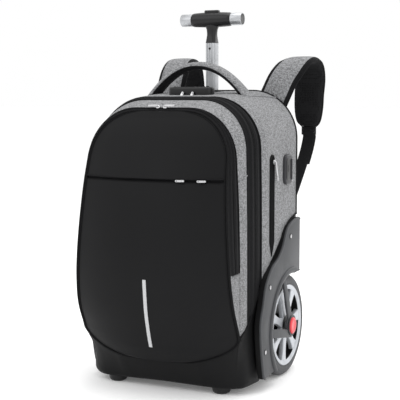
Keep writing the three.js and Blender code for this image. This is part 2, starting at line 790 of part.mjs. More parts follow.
function fender() {
  const hub = new THREE.Vector2(wheelAxisY, wheelRadius);
  const onArch = (turn) =>
    new THREE.Vector2(Math.cos(turn), Math.sin(turn)).multiplyScalar(linerRadius + linerWall).add(hub);
  const rimDepth = fenderX - halfWidth + moulding;
  const rimX = fenderX - rimDepth;
  const blank = solid(plateX(fenderOutline(0), rimX, rimDepth, 10));
  const hollow = solid(plateX(fenderOutline(fenderRim), rimX - 1, rimDepth + 1 - fenderPlate, 10));
  const insideRim = hollow.subtract(solid(archLiner()));
  const lowHub = hub.clone().add(new THREE.Vector2(3, -hubRadius * 0.8));
  const tall = shifted(base, baseNormals, 2 * seam);
  tall[tall.length - 1].forEach((p) => p.setZ(p.z + 2 * rimGap));
  const baseGuard = solid(wall(tall, baseNormals, guardDepth));
  return geometryOf(
    blank
      .subtract(insideRim)
      .add(solid(archLiner()))
      .add(solid(armBar(onArch(Math.PI * 0.625), hub, upperArmWidth)))
      .add(solid(armBar(onArch(Math.PI * 0.99), lowHub, lowerArmWidth)))
      .add(solid(barX(bossRadius, plateInnerX, fenderX, wheelAxisY, wheelRadius, 24)))
      .subtract(baseGuard)
      .subtract(hideGuard)
  );
}

const rivetPlaces = [
  { name: "top", back: -0.07, up: 1.78 },
  { name: "middle", back: -1.16, up: 0.94 },
  { name: "low", back: -1.38, up: -0.25 },
];
const fenderGeometry = fender();
const bossOuterX = fenderX + seam + bossThickness;

const wheelSegments = 26;

function tyre() {
  const half = wheelWidth / 2;
  const inner = wheelRadius - tyreDepth;
  const profile = [
    [inner, -half + 1],
    [wheelRadius - tyreShoulder, -half],
    [wheelRadius, -half + tyreShoulder],
    [wheelRadius, half - tyreShoulder],
    [wheelRadius - tyreShoulder, half],
    [inner, half - 1],
  ];
  return onAxle(lathed(profile, wheelSegments));
}

const wheelX = tyreOuterX - wheelWidth / 2;
const onAxle = (geometry) => geometry.rotateZ(-Math.PI / 2).translate(wheelX, wheelAxisY, wheelRadius);

// Turns a closed profile of radius and height about an axis
function lathed(profile, segments) {
  const points = [...profile, profile[0]].map(([r, w]) => new THREE.Vector2(r, w));
  return geometryOf(solid(new THREE.LatheGeometry(points, segments)));
}

const ringProfile = (inner, outer, half) => [
  [inner, -half],
  [outer, -half],
  [outer, half],
  [inner, half],
];

function rim() {
  const outer = wheelRadius - tyreDepth - seam;
  const half = wheelWidth / 2 - 1;
  const bore = axleRadius + spinGap;
  const ring = lathed(ringProfile(outer - rimBand, outer, half), wheelSegments);
  const hub = lathed(ringProfile(bore, hubRadius, half), 16);
  const spokes = [];
  for (let k = 0; k < spokeCount; k++) {
    const from = hubRadius - 3;
    const to = outer - rimBand / 2;
    const spoke = new THREE.BoxGeometry(to - from, spokeThickness, spokeWidth);
    spoke.translate((from + to) / 2, half - spokeThickness / 2 - 2, 0);
    const turn = THREE.MathUtils.degToRad(spokeLead) + (k / spokeCount) * 2 * Math.PI;
    spokes.push(spoke.rotateY(Math.PI + turn));
  }
  return onAxle(geometryOf(joined(ring, hub, ...spokes)));
}

const tyreGeometry = tyre();
const rimGeometry = rim();
for (const { name, sign } of sides) {
  place(`fender_${name}`, mirrorX(fenderGeometry, sign), "fenderPlastic");
  place(`tyre_${name}`, mirrorX(tyreGeometry, sign), "rubber");
  place(`rim_${name}`, mirrorX(rimGeometry, sign), "silver");
  const axle = barX(axleRadius, wellHalf + seam, plateInnerX - seam, wheelAxisY, wheelRadius, 16);
  place(`axle_${name}`, mirrorX(axle, sign), "silver");
  const boss = barX(bossRadius, fenderX + seam, bossOuterX, wheelAxisY, wheelRadius, 24);
  place(`hub_boss_${name}`, mirrorX(boss, sign), "gloss");
  const capX = bossOuterX + seam;
  const cap = barX(capRadius, capX, capX + capThickness, wheelAxisY, wheelRadius, 24);
  place(`hub_cap_${name}`, mirrorX(cap, sign), "red");
  for (const rivet of rivetPlaces) {
    const y = wheelAxisY + rivet.back * wheelRadius;
    const z = wheelRadius + rivet.up * wheelRadius;
    const head = barX(rivetRadius, fenderX + seam, fenderX + seam + rivetProud, y, z, 12);
    place(`rivet_${rivet.name}_${name}`, mirrorX(head, sign), "silver");
  }
}

// Front feet
for (const { name, sign } of sides) {
  const profile = [
    [0, 0],
    [footRadius * 0.6, 0],
    [footRadius * 0.9, groundGap / 4],
    [footRadius, groundGap * 0.65],
    [footRadius, groundGap - seam],
    [0, groundGap - seam],
  ];
  const foot = lathed(profile, 16);
  foot.rotateX(Math.PI / 2).translate(sign * footSpacing, -footFrontY, 0);
  place(`foot_${name}`, foot, "gloss");
}

// Telescopic handle
function hollowTube(outerX, outerY, corner, bottom, top) {
  const shape = roundedRect(outerX, outerY, corner);
  shape.holes.push(roundedRect(outerX - 2 * tubeWall, outerY - 2 * tubeWall, corner - tubeWall));
  return extrude(shape, top - bottom, 2).translate(0, poleY, bottom);
}

const tubeEnd = gripHeight - neckLength;
const collarTop = topAtPole + seam + collarProud;
const sleeveTop = topAtPole - cloth - 2 * seam;
const sleeve = hollowTube(sleeveX, sleeveY, tubeCorner + 2, floorTop + seam, sleeveTop);
const middleTop = collarTop - 1;
const middleTube = hollowTube(middleX, middleY, tubeCorner + 1, middleTop - middleTubeLength, middleTop);
const pinHole = new THREE.CylinderGeometry(pinHoleRadius, pinHoleRadius, tubeY, 12);
pinHole.translate(0, poleY - tubeY / 2, tubeEnd - pinDrop);
const plainTube = hollowTube(tubeX, tubeY, tubeCorner, tubeEnd - upperTubeLength, tubeEnd);
const upperTube = solid(plainTube).subtract(solid(pinHole));
place("trolley_sleeve", sleeve, "silver");
place("trolley_middle_tube", middleTube, "silver");
place("trolley_upper_tube", geometryOf(upperTube), "silver");

function collar() {
  const low = sleeveTop + seam;
  const flangeLow = topAtPole + (topFall * sleeveY) / mainDepth + seam;
  const inner = roundedRect(sleeveX - 2 * tubeWall, sleeveY - 2 * tubeWall, tubeCorner + 1);
  const spigot = roundedRect(sleeveX, sleeveY, tubeCorner + 2);
  spigot.holes.push(inner);
  const flange = roundedRect(sleeveX + 2 * collarFlange, sleeveY + 2 * collarFlange, tubeCorner + 4);
  flange.holes.push(inner);
  const spigotSolid = extrude(spigot, flangeLow + seam - low, 2).translate(0, poleY, low);
  return joined(spigotSolid, extrude(flange, collarTop - flangeLow, 2).translate(0, poleY, flangeLow));
}
place("trolley_collar", geometryOf(collar()), "gloss");

// Grip: a bulged barrel on a waisted neck, silver tubes with end plugs, and a push button
const sectionPoints = 16;
function ellipseRing(halfX, halfY, z, power) {
  const ring = [];
  for (let k = 0; k < sectionPoints; k++) {
    const turn = (k / sectionPoints) * 2 * Math.PI;
    const [c, s] = [Math.cos(turn), Math.sin(turn)];
    const scale = (Math.abs(c) ** power + Math.abs(s) ** power) ** (-1 / power);
    ring.push(at(halfX * c * scale, poleY + halfY * s * scale, z));
  }
  return ring;
}

// Sections of the neck, as shares of the tube's half sizes and of the neck's length below the axis
const neckRows = [
  { down: 0, x: 1.7, y: 0.9, power: 2 },
  { down: 0.24, x: 1.6, y: 0.88, power: 2 },
  { down: 0.38, x: 1.12, y: 0.78, power: 2.4 },
  { down: 0.62, x: 0.92, y: 0.78, power: 3 },
  { down: 0.84, x: 0.98, y: 0.92, power: 4 },
  { down: 1, x: 1.06, y: 1.05, power: 5 },
];

function grip() {
  const bow = (share) => lerp(gripTubeRadius + 1, barrelRadius, 1 - share ** 2);
  const profile = [[0, -barrelHalfLength]];
  for (let k = -3; k <= 3; k++) profile.push([bow(k / 3), (barrelHalfLength * k) / 3]);
  profile.push([0, barrelHalfLength]);
  const barrel = lathed(profile, sectionPoints).rotateZ(-Math.PI / 2).translate(0, poleY, gripHeight);
  const neckRings = neckRows.map((row) => {
    const z = lerp(gripHeight, tubeEnd + seam, row.down);
    return ellipseRing((row.x * tubeX) / 2, (row.y * tubeY) / 2, z, row.power);
  });
  const neck = loft(neckRings);
  const pocketDepth = buttonTravel + 4;
  const pocketLength = 2 * (buttonHalfLength + spinGap);
  const pocket = new THREE.BoxGeometry(pocketLength, buttonWidth + 2 * spinGap, pocketDepth + buttonProud);
  pocket.translate(0, poleY, gripHeight + barrelRadius - pocketDepth + (pocketDepth + buttonProud) / 2);
  return geometryOf(joined(barrel, neck).subtract(solid(pocket)));
}
place("trolley_grip", grip(), "gloss");

const buttonTop = gripHeight + barrelRadius + buttonProud;
const buttonHeight = buttonProud + 3;
const button = extrude(roundedRect(2 * buttonHalfLength, buttonWidth, 3), buttonHeight, 3);
button.translate(0, poleY, buttonTop - buttonHeight);
place("grip_button", button, "gloss");

for (const { name, sign } of sides) {
  const from = barrelHalfLength + seam;
  const recess = 3;
  const lip = gripTubeRadius - tubeWall;
  const profile = [
    [0, from],
    [gripTubeRadius, from],
    [gripTubeRadius, gripHalfLength],
    [lip, gripHalfLength],
    [lip, gripHalfLength - recess],
    [0, gripHalfLength - recess],
  ];
  const tube = lathed(profile, sectionPoints).rotateZ(-Math.PI / 2).translate(0, poleY, gripHeight);
  place(`grip_tube_${name}`, mirrorX(tube, sign), "silver");
  const plugFrom = gripHalfLength - recess + seam;
  const plug = barX(lip - seam, plugFrom, gripHalfLength - seam, poleY, gripHeight, sectionPoints);
  place(`grip_plug_${name}`, mirrorX(plug, sign), "gloss");
}

// Carry handle: a padded arch whose feet are sewn to the bag's top
const archSteps = 14;
const archPower = 2.1;
function carryHandle() {
  const rise = handleRise + handleSunk;
  const rings = [];
  for (let k = 0; k <= archSteps; k++) {
    const share = (2 * k) / archSteps - 1;
    const x = handleSpan * Math.sign(share) * Math.abs(share) ** 0.9;
    const z = handleFootZ - handleSunk + rise * (1 - Math.abs(x / handleSpan) ** archPower);
    const slope = (archPower * rise * Math.abs(x / handleSpan) ** (archPower - 1)) / handleSpan;
    const out = new THREE.Vector2(Math.sign(share) * slope, 1).normalize();
    const foot = Math.abs(share) ** 4;
    const halfT = (handleThickness / 2) * (1 + 0.35 * foot);
    const halfW = (handleWidth / 2) * (1 + 0.1 * foot);
    const ring = [];
    for (let s = 0; s < 10; s++) {
      const turn = (s / 10) * 2 * Math.PI;
      const up = halfT * Math.sin(turn);
      ring.push(at(x + out.x * up, handleY + halfW * Math.cos(turn), z + out.y * up));
    }
    rings.push(ring);
  }
  return seated(loft(rings));
}
place("carry_handle", carryHandle(), "melange");

// Shoulder straps: the centre line of the pad, by shares of its top height, reach and length.
// across is the centre's X for the right and the left strap, as shares of the bag's half width.
const strapRows = [
  { up: -0.96, reach: 0.065, right: 0.59, left: 0.68, width: 0.9, thick: 0.5 },
  { up: -0.75, reach: 0.11, right: 0.63, left: 0.68, width: 1, thick: 0.9 },
  { up: -0.5, reach: 0.14, right: 0.71, left: 0.67, width: 1, thick: 1 },
  { up: -0.27, reach: 0.18, right: 0.79, left: 0.65, width: 1, thick: 1 },
  { up: -0.1, reach: 0.27, right: 0.88, left: 0.63, width: 1, thick: 1 },
  { up: -0.01, reach: 0.43, right: 0.93, left: 0.63, width: 1, thick: 1 },
  { up: 0, reach: 0.64, right: 0.95, left: 0.63, width: 1, thick: 1 },
  { up: -0.09, reach: 0.85, right: 0.95, left: 0.65, width: 1, thick: 1 },
  { up: -0.27, reach: 0.97, right: 0.94, left: 0.66, width: 1, thick: 1 },
  { up: -0.5, reach: 1, right: 0.92, left: 0.66, width: 1, thick: 1 },
  { up: -0.75, reach: 0.98, right: 0.92, left: 0.66, width: 0.96, thick: 1 },
  { up: -0.92, reach: 0.95, right: 0.93, left: 0.67, width: 0.8, thick: 0.9 },
  { up: -1, reach: 0.95, right: 0.93, left: 0.67, width: 0.5, thick: 0.6 },
];
const strapPoint = (row, name) =>
  at(halfWidth * row[name], backY + strapReach * row.reach, strapTopZ + strapLength * row.up);

function strapSections(centres, width, thickness, points, power) {
  return centres.map((centre, k) => {
    const before = centres[Math.max(k - 1, 0)].p;
    const after = centres[Math.min(k + 1, centres.length - 1)].p;
    const along = after.clone().sub(before).normalize();
    const across = at(1, 0, 0).addScaledVector(along, -along.x).normalize();
    const out = across.clone().cross(along);
    const ring = [];
    for (let s = 0; s < points; s++) {
      const turn = ((s + 0.5) / points) * 2 * Math.PI;
      const [c, d] = [Math.cos(turn), Math.sin(turn)];
      const scale = (Math.abs(c) ** power + Math.abs(d) ** power) ** (-1 / power);
      const w = (width / 2) * (centre.width ?? 1) * c * scale;
      const t = (thickness / 2) * (centre.thick ?? 1) * d * scale;
      ring.push(centre.p.clone().addScaledVector(across, w).addScaledVector(out, t));
    }
    return ring;
  });
}

// Webbing from the pad's end down to the bag's back, by shares of the way
const webRows = [
  { down: 0, over: 0, reach: 0.93 },
  { down: 0.04, over: 0, reach: 0.93 },
  { down: 0.2, over: 0.16, reach: 0.84 },
  { down: 0.4, over: 0.4, reach: 0.67 },
  { down: 0.77, over: 0.78, reach: 0.27 },
  { down: 0.93, over: 0.94, reach: 0.065 },
  { down: 1, over: 1, reach: 0.042 },
];
const tailRows = 4; // how many of these rows its loose end hangs along

for (const { name, sign } of sides) {
  const padCentres = strapRows.map((row) => ({ p: strapPoint(row, name), width: row.width, thick: row.thick }));
  const pad = loft(strapSections(padCentres, strapWidth, strapThickness, 10, 4));
  place(`shoulder_strap_${name}`, mirrorX(pad, sign), "melange");
  const end = padCentres[padCentres.length - 1].p;
  const buckle = new THREE.BoxGeometry(webWidth + 6, buckleThickness, buckleHeight);
  buckle.translate(end.x, end.y, end.z - buckleHeight / 2 - seam);
  place(`strap_buckle_${name}`, mirrorX(buckle, sign), "gloss");
  const webTop = end.z - buckleHeight - 2 * seam;
  const centres = webRows.map((row) => {
    const x = lerp(end.x, halfWidth * anchorAcross, row.over);
    return { p: at(x, backY + strapReach * row.reach, lerp(webTop, webAnchorZ, row.down)) };
  });
  const web = loft(strapSections(centres, webWidth, webThickness, 8, 6));
  place(`strap_webbing_${name}`, mirrorX(web, sign), "blackCloth");
  const hang = centres.slice(0, tailRows).map(({ p }, k) => {
    const off = 1.4 * (webThickness + seam) + (tailSlack * k) / tailRows;
    return { p: at(p.x + webThickness, p.y + off, p.z - seam) };
  });
  const tail = loft(strapSections(hang, webWidth, webThickness, 8, 6));
  place(`strap_tail_${name}`, mirrorX(tail, sign), "blackCloth");
}

// Lock housing on the top, with the two main zip pulls in front of it
const lockBlank = extrude(roundedRect(lockLength, lockDepth, lockDepth * 0.42), lockSunk, 3);
lockBlank.translate(0, lockY, lockTop - lockSunk);
place("lock_housing", seated(lockBlank), "gloss");

function pullTab(length) {
  const shape = roundedRect(pullWidth, length, pullWidth * 0.45);
  shape.holes.push(new THREE.Path().absarc(0, length / 2 - pullWidth / 2, pullWidth * 0.22, 0, 2 * Math.PI));
  return extrude(shape, pullThickness, 2);
}

const lockFrontY = lockY - lockDepth / 2;
const topAt = (y) => bagTop - (topFall * (backY - y)) / mainDepth;
for (const { name, sign } of sides) {
  const tab = pullTab(pullLength).rotateX(Math.PI / 2);
  const y = lockFrontY - seam;
  tab.translate(sign * pullWidth * 1.2, y, topAt(y - pullThickness) + pullLength / 2 + 2 * seam);
  place(`main_zip_pull_${name}`, tab, "silver");
}

// Pulls of the front compartment's zip, lying on the gusset above the panel
for (const { name, sign } of sides) {
  const low = hide[ringIndex.frontZip][hide[0].length >> 1];
  const high = hide[ringIndex.gusset][hide[0].length >> 1];
  const slope = Math.atan2(high.z - low.z, high.y - low.y);
  const tab = pullTab(pullLength).rotateX(slope);
  const middle = low.clone().lerp(high, 0.2);
  const lift = 2 * seam;
  tab.translate(sign * pullWidth * 0.75, middle.y - lift * Math.sin(slope), middle.z + lift * Math.cos(slope));
  place(`front_zip_pull_${name}`, seated(tab), "silver");
}

// Pulls of the pocket's zip, lying along its slot
const pocketPulls = [
  { name: "inner", across: 0.45 },
  { name: "outer", across: 0.72 },
];
for (const { name, across } of pocketPulls) {
  const x = across * panelEdgeHalf(pocketZipHeight);
  const slider = new THREE.BoxGeometry(pullLength * 0.8, pullThickness, pocketSlot - 6 * seam);
  const turn = Math.atan2(panelY(x + 5, slotLow) - panelY(x - 5, slotLow), 10);
  slider.rotateZ(turn).translate(x, panelY(x, slotLow) + cloth / 2 - seam, pocketZipHeight);
  place(`pocket_zip_pull_${name}`, slider, "silver");
}

// Side pocket's zip and its pull, and the charging port, on the right side
function sideBlank(shape, proud) {
  return plateX(shape, halfWidth - guardDepth / 2, guardDepth / 2 + proud, 4);
}
const pocketMiddle = (sidePocketTop + sidePocketBottom) / 2;
const pocketLength = sidePocketTop - sidePocketBottom;

// The pocket's zip narrows to a point at its lower end
function pocketOutline() {
  const half = sidePocketWidth / 2;
  const shape = new THREE.Shape();
  shape.moveTo(-half * 0.2, -pocketLength / 2);
  shape.lineTo(half, -pocketLength * 0.36);
  shape.lineTo(half, pocketLength / 2 - half);
  shape.absarc(0, pocketLength / 2 - half, half, 0, Math.PI);
  shape.lineTo(-half, -pocketLength * 0.36);
  shape.closePath();
  return shape;
}
const pocketSide = sideBlank(pocketOutline(), sidePocketProud).translate(0, sidePocketY, pocketMiddle);
place("side_pocket_zip", seated(pocketSide), "blackCloth");
const portSide = sideBlank(roundedRect(portWidth, portHeight, portWidth * 0.3), portProud);
place("charging_port", seated(portSide.translate(0, portY, portZ)), "gloss");
const sidePull = pullTab(sidePullLength).applyMatrix4(alongX);
const sidePullX = halfWidth + sidePocketProud + seam;
const sidePullY = sidePocketY + sidePocketWidth * 0.4;
sidePull.rotateX(Math.PI + 0.3).translate(sidePullX, sidePullY, sidePocketTop - sidePullLength * 0.8);
place("side_pocket_pull", sidePull, "silver");

// The bag's own box is centred over the origin
const frontReach = panelSetback + panelBulge;
const backReach = backY + strapReach + strapThickness / 2;
bag.position.y = (frontReach - backReach) / 2;

export default bag;
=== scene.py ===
"""Wheeled backpack: the dressed model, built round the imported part.

Sizes are millimetres in the part's own frame, with the bag's front facing -Y. A piece becomes
metres in the row's frame when it is made.
"""

import logging
import math
from dataclasses import dataclass, field
from enum import Enum
from typing import Callable, Sequence

import bmesh
import bpy
from bmesh.types import BMesh
from mathutils import Euler, Matrix, Vector

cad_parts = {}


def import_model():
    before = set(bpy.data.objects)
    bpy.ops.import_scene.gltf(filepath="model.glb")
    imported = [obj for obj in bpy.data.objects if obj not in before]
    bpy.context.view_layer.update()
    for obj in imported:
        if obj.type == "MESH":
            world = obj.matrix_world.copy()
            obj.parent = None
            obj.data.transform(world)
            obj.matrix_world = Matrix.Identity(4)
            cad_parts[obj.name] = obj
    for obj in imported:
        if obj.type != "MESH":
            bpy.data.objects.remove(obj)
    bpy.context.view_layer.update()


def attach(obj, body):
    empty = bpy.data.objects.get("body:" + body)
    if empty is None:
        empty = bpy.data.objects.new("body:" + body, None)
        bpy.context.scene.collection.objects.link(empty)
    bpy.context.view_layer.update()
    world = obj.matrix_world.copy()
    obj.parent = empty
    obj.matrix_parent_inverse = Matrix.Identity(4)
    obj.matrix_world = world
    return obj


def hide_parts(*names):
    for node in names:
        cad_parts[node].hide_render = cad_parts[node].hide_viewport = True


log = logging.getLogger("backpack")

ROW_SHIFT = 15.5  # the part's frame to the row's frame, along Y
TO_ROW = Matrix.Scale(0.001, 4) @ Matrix.Translation((0, ROW_SHIFT, 0))
QUARTER = math.pi / 2
X_AXIS, Y_AXIS, Z_AXIS = Vector((1, 0, 0)), Vector((0, 1, 0)), Vector((0, 0, 1))
SIDES = (("right", False), ("left", True))

Surface = Callable[[float, float], Vector]
Section = Callable[[float, float], tuple[float, float]]
Table = Sequence[Sequence[float]]
Colour = tuple[float, float, float]
Place = tuple[float, float, float]
Side = tuple[str, bool]


class Slot(Enum):
    """The material slots."""

    MELANGE = "melange_cloth"
    BLACK = "black_cloth"
    COATED = "coated_cloth"
    BASE = "base_plastic"
    FENDER = "fender_plastic"
    TYRE = "tyre_rubber"
    RIM = "rim_silver"
    TUBE = "tube_aluminium"
    RED = "red_plastic"
    PLASTIC = "black_plastic"
    TAPE = "reflective_tape"
    METAL = "pull_metal"


# ---------------------------------------------------------------- shader maths


class Sock:
    """A socket that sums can be written with."""

    def __init__(self, shade: "Shade", socket: bpy.types.NodeSocket) -> None:
        """Keeps the socket and the shader that it belongs to."""
        self.shade = shade
        self.socket = socket

    def _sum(self, operation: str, *values: "Sock | float") -> "Sock":
        """The result of one Math node."""
        return self.shade.node("ShaderNodeMath", {"operation": operation}, dict(enumerate(values)))

    def __add__(self, other: "Sock | float") -> "Sock":
        """Self plus other."""
        return self._sum("ADD", self, other)

    def __sub__(self, other: "Sock | float") -> "Sock":
        """Self less other."""
        return self._sum("SUBTRACT", self, other)

    def __rsub__(self, other: float) -> "Sock":
        """Other less self."""
        return self._sum("SUBTRACT", other, self)

    def __mul__(self, other: "Sock | float") -> "Sock":
        """Self times other."""
        return self._sum("MULTIPLY", self, other)

    def __truediv__(self, other: "Sock | float") -> "Sock":
        """Self over other."""
        return self._sum("DIVIDE", self, other)

    def __pow__(self, other: float) -> "Sock":
        """Self to a power."""
        return self._sum("POWER", self, other)

    __radd__ = __add__
    __rmul__ = __mul__

    def sine(self) -> "Sock":
        """Sine of self."""
        return self._sum("SINE", self)

    def between(self, low: float, high: float) -> "Sock":
        """Self eased from 0 at low to 1 at high."""
        inputs = {0: self, 1: low, 2: high}
        settings = {"interpolation_type": "SMOOTHSTEP"}
        return self.shade.node("ShaderNodeMapRange", settings, inputs)


class Shade:
    """One material's nodes."""

    def __init__(self, name: str) -> None:
        """Makes a material with a Principled shader.

        Args:
            name: The material's name.
        """
        self.material = bpy.data.materials.new(name)
        self.material.use_nodes = True
        self.tree = self.material.node_tree
        self.shader = self.tree.nodes["Principled BSDF"]

    def node(self, kind: str, settings: dict, inputs: dict, out: int | str = 0) -> Sock:
        """Adds a node.

        Args:
            kind: The node's type.
            settings: Its properties, set first.
            inputs: Values or links by the name or number of the input.
            out: The output that is wanted.

        Returns:
            That output.
        """
        node = self.tree.nodes.new(kind)
        for key, value in settings.items():
            setattr(node, key, value)
        for key, value in inputs.items():
            self.feed(node.inputs[key], value)
        return Sock(self, node.outputs[out])

    def feed(self, socket: bpy.types.NodeSocket, value: object) -> None:
        """Links or sets one input.

        Args:
            socket: The input.
            value: A socket to link, a colour or a number.
        """
        if isinstance(value, Sock):
            self.tree.links.new(value.socket, socket)
        elif isinstance(value, tuple) and len(value) == 3 and socket.type == "RGBA":
            socket.default_value = (*value, 1)
        else:
            socket.default_value = value

    def set(self, **values: object) -> None:
        """Feeds the Principled shader, with _ for the blanks of a name."""
        for key, value in values.items():
            self.feed(self.shader.inputs[key.replace("_", " ")], value)

    def place(self, scale: Sequence[float] = (1, 1, 1)) -> Sock:
        """The piece's own coordinates in metres, stretched by a scale."""
        where = self.node("ShaderNodeTexCoord", {}, {}, "Object")
        return self.node("ShaderNodeMapping", {}, {"Vector": where, "Scale": scale})

    def axes(self, where: Sock) -> tuple[Sock, Sock, Sock]:
        """The three numbers of a vector."""
        split = self.node("ShaderNodeSeparateXYZ", {}, {"Vector": where})
        return tuple(Sock(self, out) for out in split.socket.node.outputs)

    def noise(self, where: Sock, scale: float, detail: float = 2) -> Sock:
        """Soft noise round a half."""
        return self.node("ShaderNodeTexNoise", {}, {"Vector": where, "Scale": scale, "Detail": detail})

    def cells(self, where: Sock, scale: float) -> Sock:
        """Distance to the nearest point of a scatter."""
        return self.node("ShaderNodeTexVoronoi", {}, {"Vector": where, "Scale": scale, "Randomness": 0.35})

    def blend(self, share: Sock, first: Colour | Sock, second: Colour | Sock) -> Sock:
        """One colour turning into another."""
        settings = {"data_type": "RGBA", "clamp_factor": True}
        return self.node("ShaderNodeMix", settings, {0: share, 6: first, 7: second}, 2)

    def bump(self, height: Sock, depth: float, strength: float = 1.0) -> None:
        """Feeds the normal from a height.

        Args:
            height: The height, about 0 to 1.
            depth: Metres that a height of 1 stands for.
            strength: The bump's share.
        """
        inputs = {"Height": height, "Distance": depth, "Strength": strength}
        self.set(Normal=self.node("ShaderNodeBump", {}, inputs))


@dataclass(frozen=True)
class Finish:
    """A finish, made once and shared by its pieces."""

    name: str
    colour: Colour
    roughness: float = 0.6

    def material(self) -> bpy.types.Material:
        """The material, built when it is first asked for."""
        found = bpy.data.materials.get(self.name)
        if found:
            return found
        shade = Shade(self.name)
        shade.set(Base_Color=self.colour, Roughness=self.roughness)
        self.dress(shade)
        return shade.material

    def dress(self, shade: Shade) -> None:
        """Adds what varies over the surface."""
        raise NotImplementedError

    def tinted(self, factor: float) -> Colour:
        """The finish's colour, lighter or darker."""
        return tuple(min(1.0, part * factor) for part in self.colour)


@dataclass(frozen=True)
class MelangeCloth(Finish):
    """Heathered canvas: pale and dark yarns in a plain weave."""

    yarn: float = 0.0011

    def dress(self, shade: Shade) -> None:
        """Mottles the yarns and raises the weave."""
        where = shade.place()
        blots = shade.noise(where, 420, 4)
        warp = shade.noise(shade.place((900, 900, 190)), 1, 3)
        weft = shade.noise(shade.place((200, 200, 900)), 1, 3)
        tone = (warp + weft + blots) / 3
        share = tone.between(0.4, 0.6)
        wide = shade.noise(where, 9, 2)
        pale = shade.blend(wide.between(0.35, 0.65), self.tinted(1.34), self.tinted(1.46))
        shade.set(Base_Color=shade.blend(share, self.tinted(0.5), pale), Specular_IOR_Level=0.3)
        x, y, z = shade.axes(where)
        turn = 2 * math.pi / (2 * self.yarn)
        weave = ((x + y) * turn).sine() * (z * turn).sine()
        shade.set(Roughness=0.86 + weave * 0.05)
        shade.bump(weave * 0.5 + tone * 1.4, 0.0005, 0.8)


@dataclass(frozen=True)
class PlainCloth(Finish):
    """Dark woven cloth or webbing, with a rib along its own length where it has one."""

    yarn: float = 0.0009
    depth: float = 0.0003

    def dress(self, shade: Shade) -> None:
        """Raises the weave and mottles it a little."""
        where = shade.place()
        x, y, z = shade.axes(where)
        turn = 2 * math.pi / (2 * self.yarn)
        weave = ((x + y) * turn).sine() * ((z + y * 0.3) * turn).sine()
        lint = shade.noise(where, 420, 3)
        tone = lint.between(0.3, 0.75) * 0.7 + weave * 0.15 + 0.15
        shade.set(Base_Color=shade.blend(tone, self.tinted(0.7), self.tinted(1.6)))
        shade.set(Roughness=self.roughness + lint * 0.1, Specular_IOR_Level=0.14)
        shade.bump(weave * 0.5 + lint, self.depth, 0.8)


@dataclass(frozen=True)
class CoatedCloth(Finish):
    """Smooth coated cloth with a fine grain and a faint gloss."""

    gloss: float = 0.15

    def dress(self, shade: Shade) -> None:
        """Adds the grain, soft waves and a wipe of dust."""
        where = shade.place()
        grain = shade.noise(where, 1400, 2)
        waves = shade.noise(shade.place((7, 7, 4)), 1, 2)
        dust = shade.noise(where, 34, 4)
        tone = waves.between(0.3, 0.7) * 0.5 + dust * 0.5
        shade.set(Base_Color=shade.blend(tone, self.tinted(0.85), self.tinted(1.2)))
        shade.set(Roughness=self.roughness + dust * 0.08 + grain * 0.04)
        shade.set(Specular_IOR_Level=self.gloss)
        shade.bump(grain * 0.06 + waves * 2.2, 0.0009, 0.6)


@dataclass(frozen=True)
class AirMesh(Finish):
    """Spacer mesh with small round openings."""

    pitch: float = 0.0032

    def dress(self, shade: Shade) -> None:
        """Sinks the openings and darkens them with painted shade."""
        where = shade.place()
        hole = shade.cells(where, 1 / self.pitch)
        rim = hole.between(0.18, 0.42)
        # Painted shade: the openings take a far darker colour than the mesh round them.
        shade.set(Base_Color=shade.blend(rim, self.tinted(0.35), self.tinted(1.9)))
        shade.set(Roughness=self.roughness + rim * 0.1, Specular_IOR_Level=0.12)
        shade.bump(rim + shade.noise(where, 900, 2) * 0.3, 0.0006, 0.9)


@dataclass(frozen=True)
class Moulding(Finish):
    """Moulded plastic with a spark grain and scuffs."""

    grain: float = 0.35
    coat: float = 0.0
    gloss: float = 0.3

    def dress(self, shade: Shade) -> None:
        """Adds the grain and the scuffs."""
        where = shade.place()
        spark = shade.noise(where, 1100, 3)
        scuff = shade.noise(shade.place((60, 60, 22)), 1, 5).between(0.52, 0.74)
        tone = spark.between(0.3, 0.7) * 0.5 + scuff * 0.35
        shade.set(Base_Color=shade.blend(tone, self.tinted(0.88), self.tinted(1.22)))
        shade.set(Roughness=self.roughness + spark * 0.1 + scuff * 0.1, Coat_Weight=self.coat)
        shade.set(Specular_IOR_Level=self.gloss)
        shade.bump(spark, 0.00012, self.grain)


@dataclass(frozen=True)
class Rubber(Finish):
    """Tyre rubber with fine mould lines round the wheel's axis."""

    axis_y: float = 0.0485
    axis_z: float = 0.09

    def dress(self, shade: Shade) -> None:
        """Adds rings round the axis and dust in them."""
        where = shade.place()
        x, y, z = shade.axes(where)
        away = ((y - self.axis_y) ** 2 + (z - self.axis_z) ** 2) ** 0.5
        lines = (away * (2 * math.pi / 0.0042)).sine()
        dust = shade.noise(where, 120, 4)
        tone = dust.between(0.3, 0.7) * 0.7 + lines * 0.12
        shade.set(Base_Color=shade.blend(tone, self.tinted(0.8), self.tinted(1.25)))
        shade.set(Roughness=self.roughness + dust * 0.12)
        shade.bump(lines * 0.5 + shade.noise(where, 1300, 2) * 0.6, 0.0002, 0.7)


@dataclass(frozen=True)
class Metal(Finish):
    """Satin metal or metallic paint, drawn along one axis."""

    metal: float = 1.0
    drawn: tuple[float, float, float] = (900, 900, 12)

    def dress(self, shade: Shade) -> None:
        """Adds the drawn lines and small wear."""
        lines = shade.noise(shade.place(self.drawn), 1, 3)
        wear = shade.noise(shade.place(), 46, 4)
        shade.set(Base_Color=shade.blend(wear.between(0.3, 0.7), self.tinted(0.9), self.tinted(1.05)))
        shade.set(Metallic=self.metal, Roughness=self.roughness + lines * 0.12 + wear * 0.06)
        shade.bump(lines, 0.00008, 0.5)


